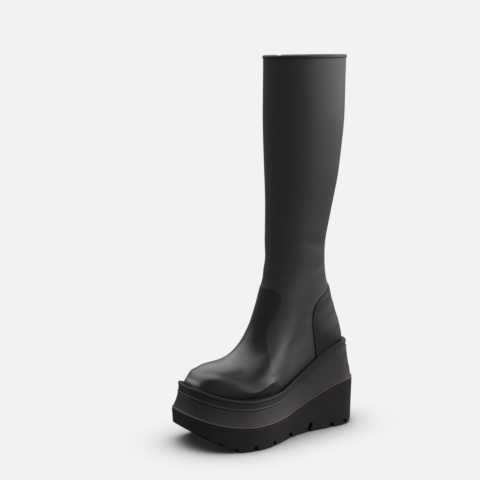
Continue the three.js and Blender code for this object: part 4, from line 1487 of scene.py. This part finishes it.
# Welt: a band with a bead at its foot and a rolled lip that stands over the feather line.
# Its rows are [share of the welt's height, mm set in].
WELT_SECTION = [
    (0.02, 8.9), (0.02, 7.6), (0.05, 7.0), (0.11, 6.7), (0.18, 6.75), (0.23, 7.25), (0.27, 7.75),
    (0.33, 7.85), (0.48, 7.9), (0.6, 8.0), (0.66, 8.2), (0.7, 8.35), (0.75, 7.85), (0.82, 7.55),
    (0.9, 7.5), (0.99, 7.75),
    (1.07, 8.4), (1.11, 9.3), (1.08, 10.2), (1.02, 10.8),
]
welt_ribs = [feather_at(sole_angles, GAP, between(welt_foot_height, feather_height, 0.02))]
welt_ribs += rims([(share, 0, inset) for share, inset in WELT_SECTION], welt_foot_height, feather_height)
welt_ribs.append(feather_at(sole_angles, GAP + 0.2 * MM, between(welt_foot_height, feather_height, 0.9)))
welt_mesh = loft_mesh(welt_ribs, closed_section=True)
# A painted highlight along the bead at the welt's foot.
crest_distance(welt_mesh, between(welt_foot_height, feather_height, 0.14))
piece("welt_band", welt_mesh, welt_rubber, ["welt"])


# Insole: a thin pad with a rounded edge, slightly dished under the heel and the ball.
def insole_height(up):
    return lambda y: deck_height(y) + GAP + up


insole_ribs = cap_ribs(feather_at(sole_angles, -WALL - 0.8 * MM, insole_height(0.0)), CAP_SHARES)
for inset, up in ((0.6, 0.0), (0.55, 1.5), (0.7, 2.8), (1.1, 3.7), (1.8, 4.3), (2.8, 4.5)):
    insole_ribs.append(feather_at(sole_angles, -WALL - inset * MM, insole_height(up * MM)))
for rib in cap_ribs(insole_ribs[-1], [0, 0.2, 0.4, 0.6, 0.8, 0.92])[::-1]:
    middle = bell(rib[:, 1], 82 * MM, 26 * MM) + bell(rib[:, 1], -46 * MM, 34 * MM)
    inward = 1 - clamp(np.abs(rib[:, 0] - HEEL_LINE) / (40 * MM)) ** 2
    rib[:, 2] -= 1.6 * MM * middle * inward
    insole_ribs.append(rib)
piece("insole_pad", loft_mesh(insole_ribs), insole_cover, ["insole"])

# ---- Stage: pale floor, soft light and the camera ----
VIEW_TURN = math.radians(57.99)
VIEW_TILT = math.radians(9.24)
VIEW_ROLL = math.radians(0.29)
EYE = Vector((1.2381, -0.8189, 0.5018))
LENS = 86.27
STAGE_WHITE = 0.887

camera_data = bpy.data.cameras.new("camera")
camera_data.lens = LENS
camera_data.sensor_width = 36
camera_data.clip_start = 0.05
camera = add_object("camera", camera_data)
bpy.context.scene.camera = camera
behind = Vector((math.sin(VIEW_TURN), -math.cos(VIEW_TURN), 0))
right = Vector((math.cos(VIEW_TURN), math.sin(VIEW_TURN), 0))
away = -behind * math.cos(VIEW_TILT) - Vector((0, 0, math.sin(VIEW_TILT)))
top = -behind * math.sin(VIEW_TILT) + Vector((0, 0, math.cos(VIEW_TILT)))
rolled_right = right * math.cos(VIEW_ROLL) + top * math.sin(VIEW_ROLL)
rolled_top = top * math.cos(VIEW_ROLL) - right * math.sin(VIEW_ROLL)
facing = Matrix((rolled_right, rolled_top, -away)).transposed().to_4x4()
camera.matrix_world = Matrix.Translation(EYE) @ facing

floor_mesh = bmesh.new()
bmesh.ops.create_grid(floor_mesh, x_segments=1, y_segments=1, size=6)
floor = add_object("floor", mesh_data("floor", floor_mesh))


def floor_finish():
    """Pale paper, an even glow, with a painted contact shadow only close to what stands on it."""
    made = Finish("floor_paper", roughness=1.0)
    # Painted shadow: ambient occlusion darkens the paper's glow near the boot.
    near = made.node("ShaderNodeAmbientOcclusion", {"samples": 12}, {"Distance": 0.085}, output="AO")
    tone = made.tint(near.above(0.6, 0.38), (0.016, 0.016, 0.016), (STAGE_WHITE,) * 3)
    glow = made.node("ShaderNodeEmission", None, {"Color": tone, "Strength": made.seen() * 0.75 + 0.25})
    made.set_socket(first_node(made.tree, "OUTPUT_MATERIAL").inputs["Surface"], glow)
    return made.material


floor.data.materials.append(floor_finish())

scene = bpy.context.scene
scene.view_settings.view_transform = "Standard"
scene.view_settings.look = "None"
world = bpy.data.worlds.new("studio")
world.use_nodes = True
scene.world = world


class Studio(Finish):
    """The world's shader tree, with the same helpers as a material."""

    def __init__(self, tree):
        self.tree = tree
        self.place = self.node("ShaderNodeTexCoord", output="Generated")


def direction(turn, rise):
    """Unit vector: turn is in degrees from the view's right towards straight away, rise is above level."""
    turn, rise = math.radians(turn), math.radians(rise)
    flat = right * math.cos(turn) - behind * math.sin(turn)
    return flat * math.cos(rise) + Vector((0, 0, math.sin(rise)))


# Broad lights as [turn, rise, facing at the middle of its edge, softness of the edge, strength].
LIGHTS = [
    (0, 8, 0.72, 0.28, 2.1), (45, 15, 0.7, 0.3, 0.4), (315, 20, 0.7, 0.3, 0.15), (125, 58, 0.79, 0.17, 2.1),
]
AMBIENT = 0.17


def studio_light():
    """A pale sky for the camera; for the boot, broad lights from the right and from above and behind."""
    made = Studio(world.node_tree)

    def lobe(toward, edge, soft):
        values = {0: made.place, 1: tuple(toward)}
        facing = made.node("ShaderNodeVectorMath", {"operation": "DOT_PRODUCT"}, values, output="Value")
        return facing.above(edge, soft)

    light = AMBIENT
    for turn, rise, edge, soft, strength in LIGHTS:
        light = lobe(direction(turn, rise), edge, soft) * strength + light
    warm = made.node("ShaderNodeCombineXYZ", None, {0: light * 1.03, 1: light * 0.98, 2: light * 1.03})
    background = first_node(made.tree, "BACKGROUND").inputs["Color"]
    made.set_socket(background, made.tint(made.seen(), warm, (STAGE_WHITE,) * 3))


studio_light()
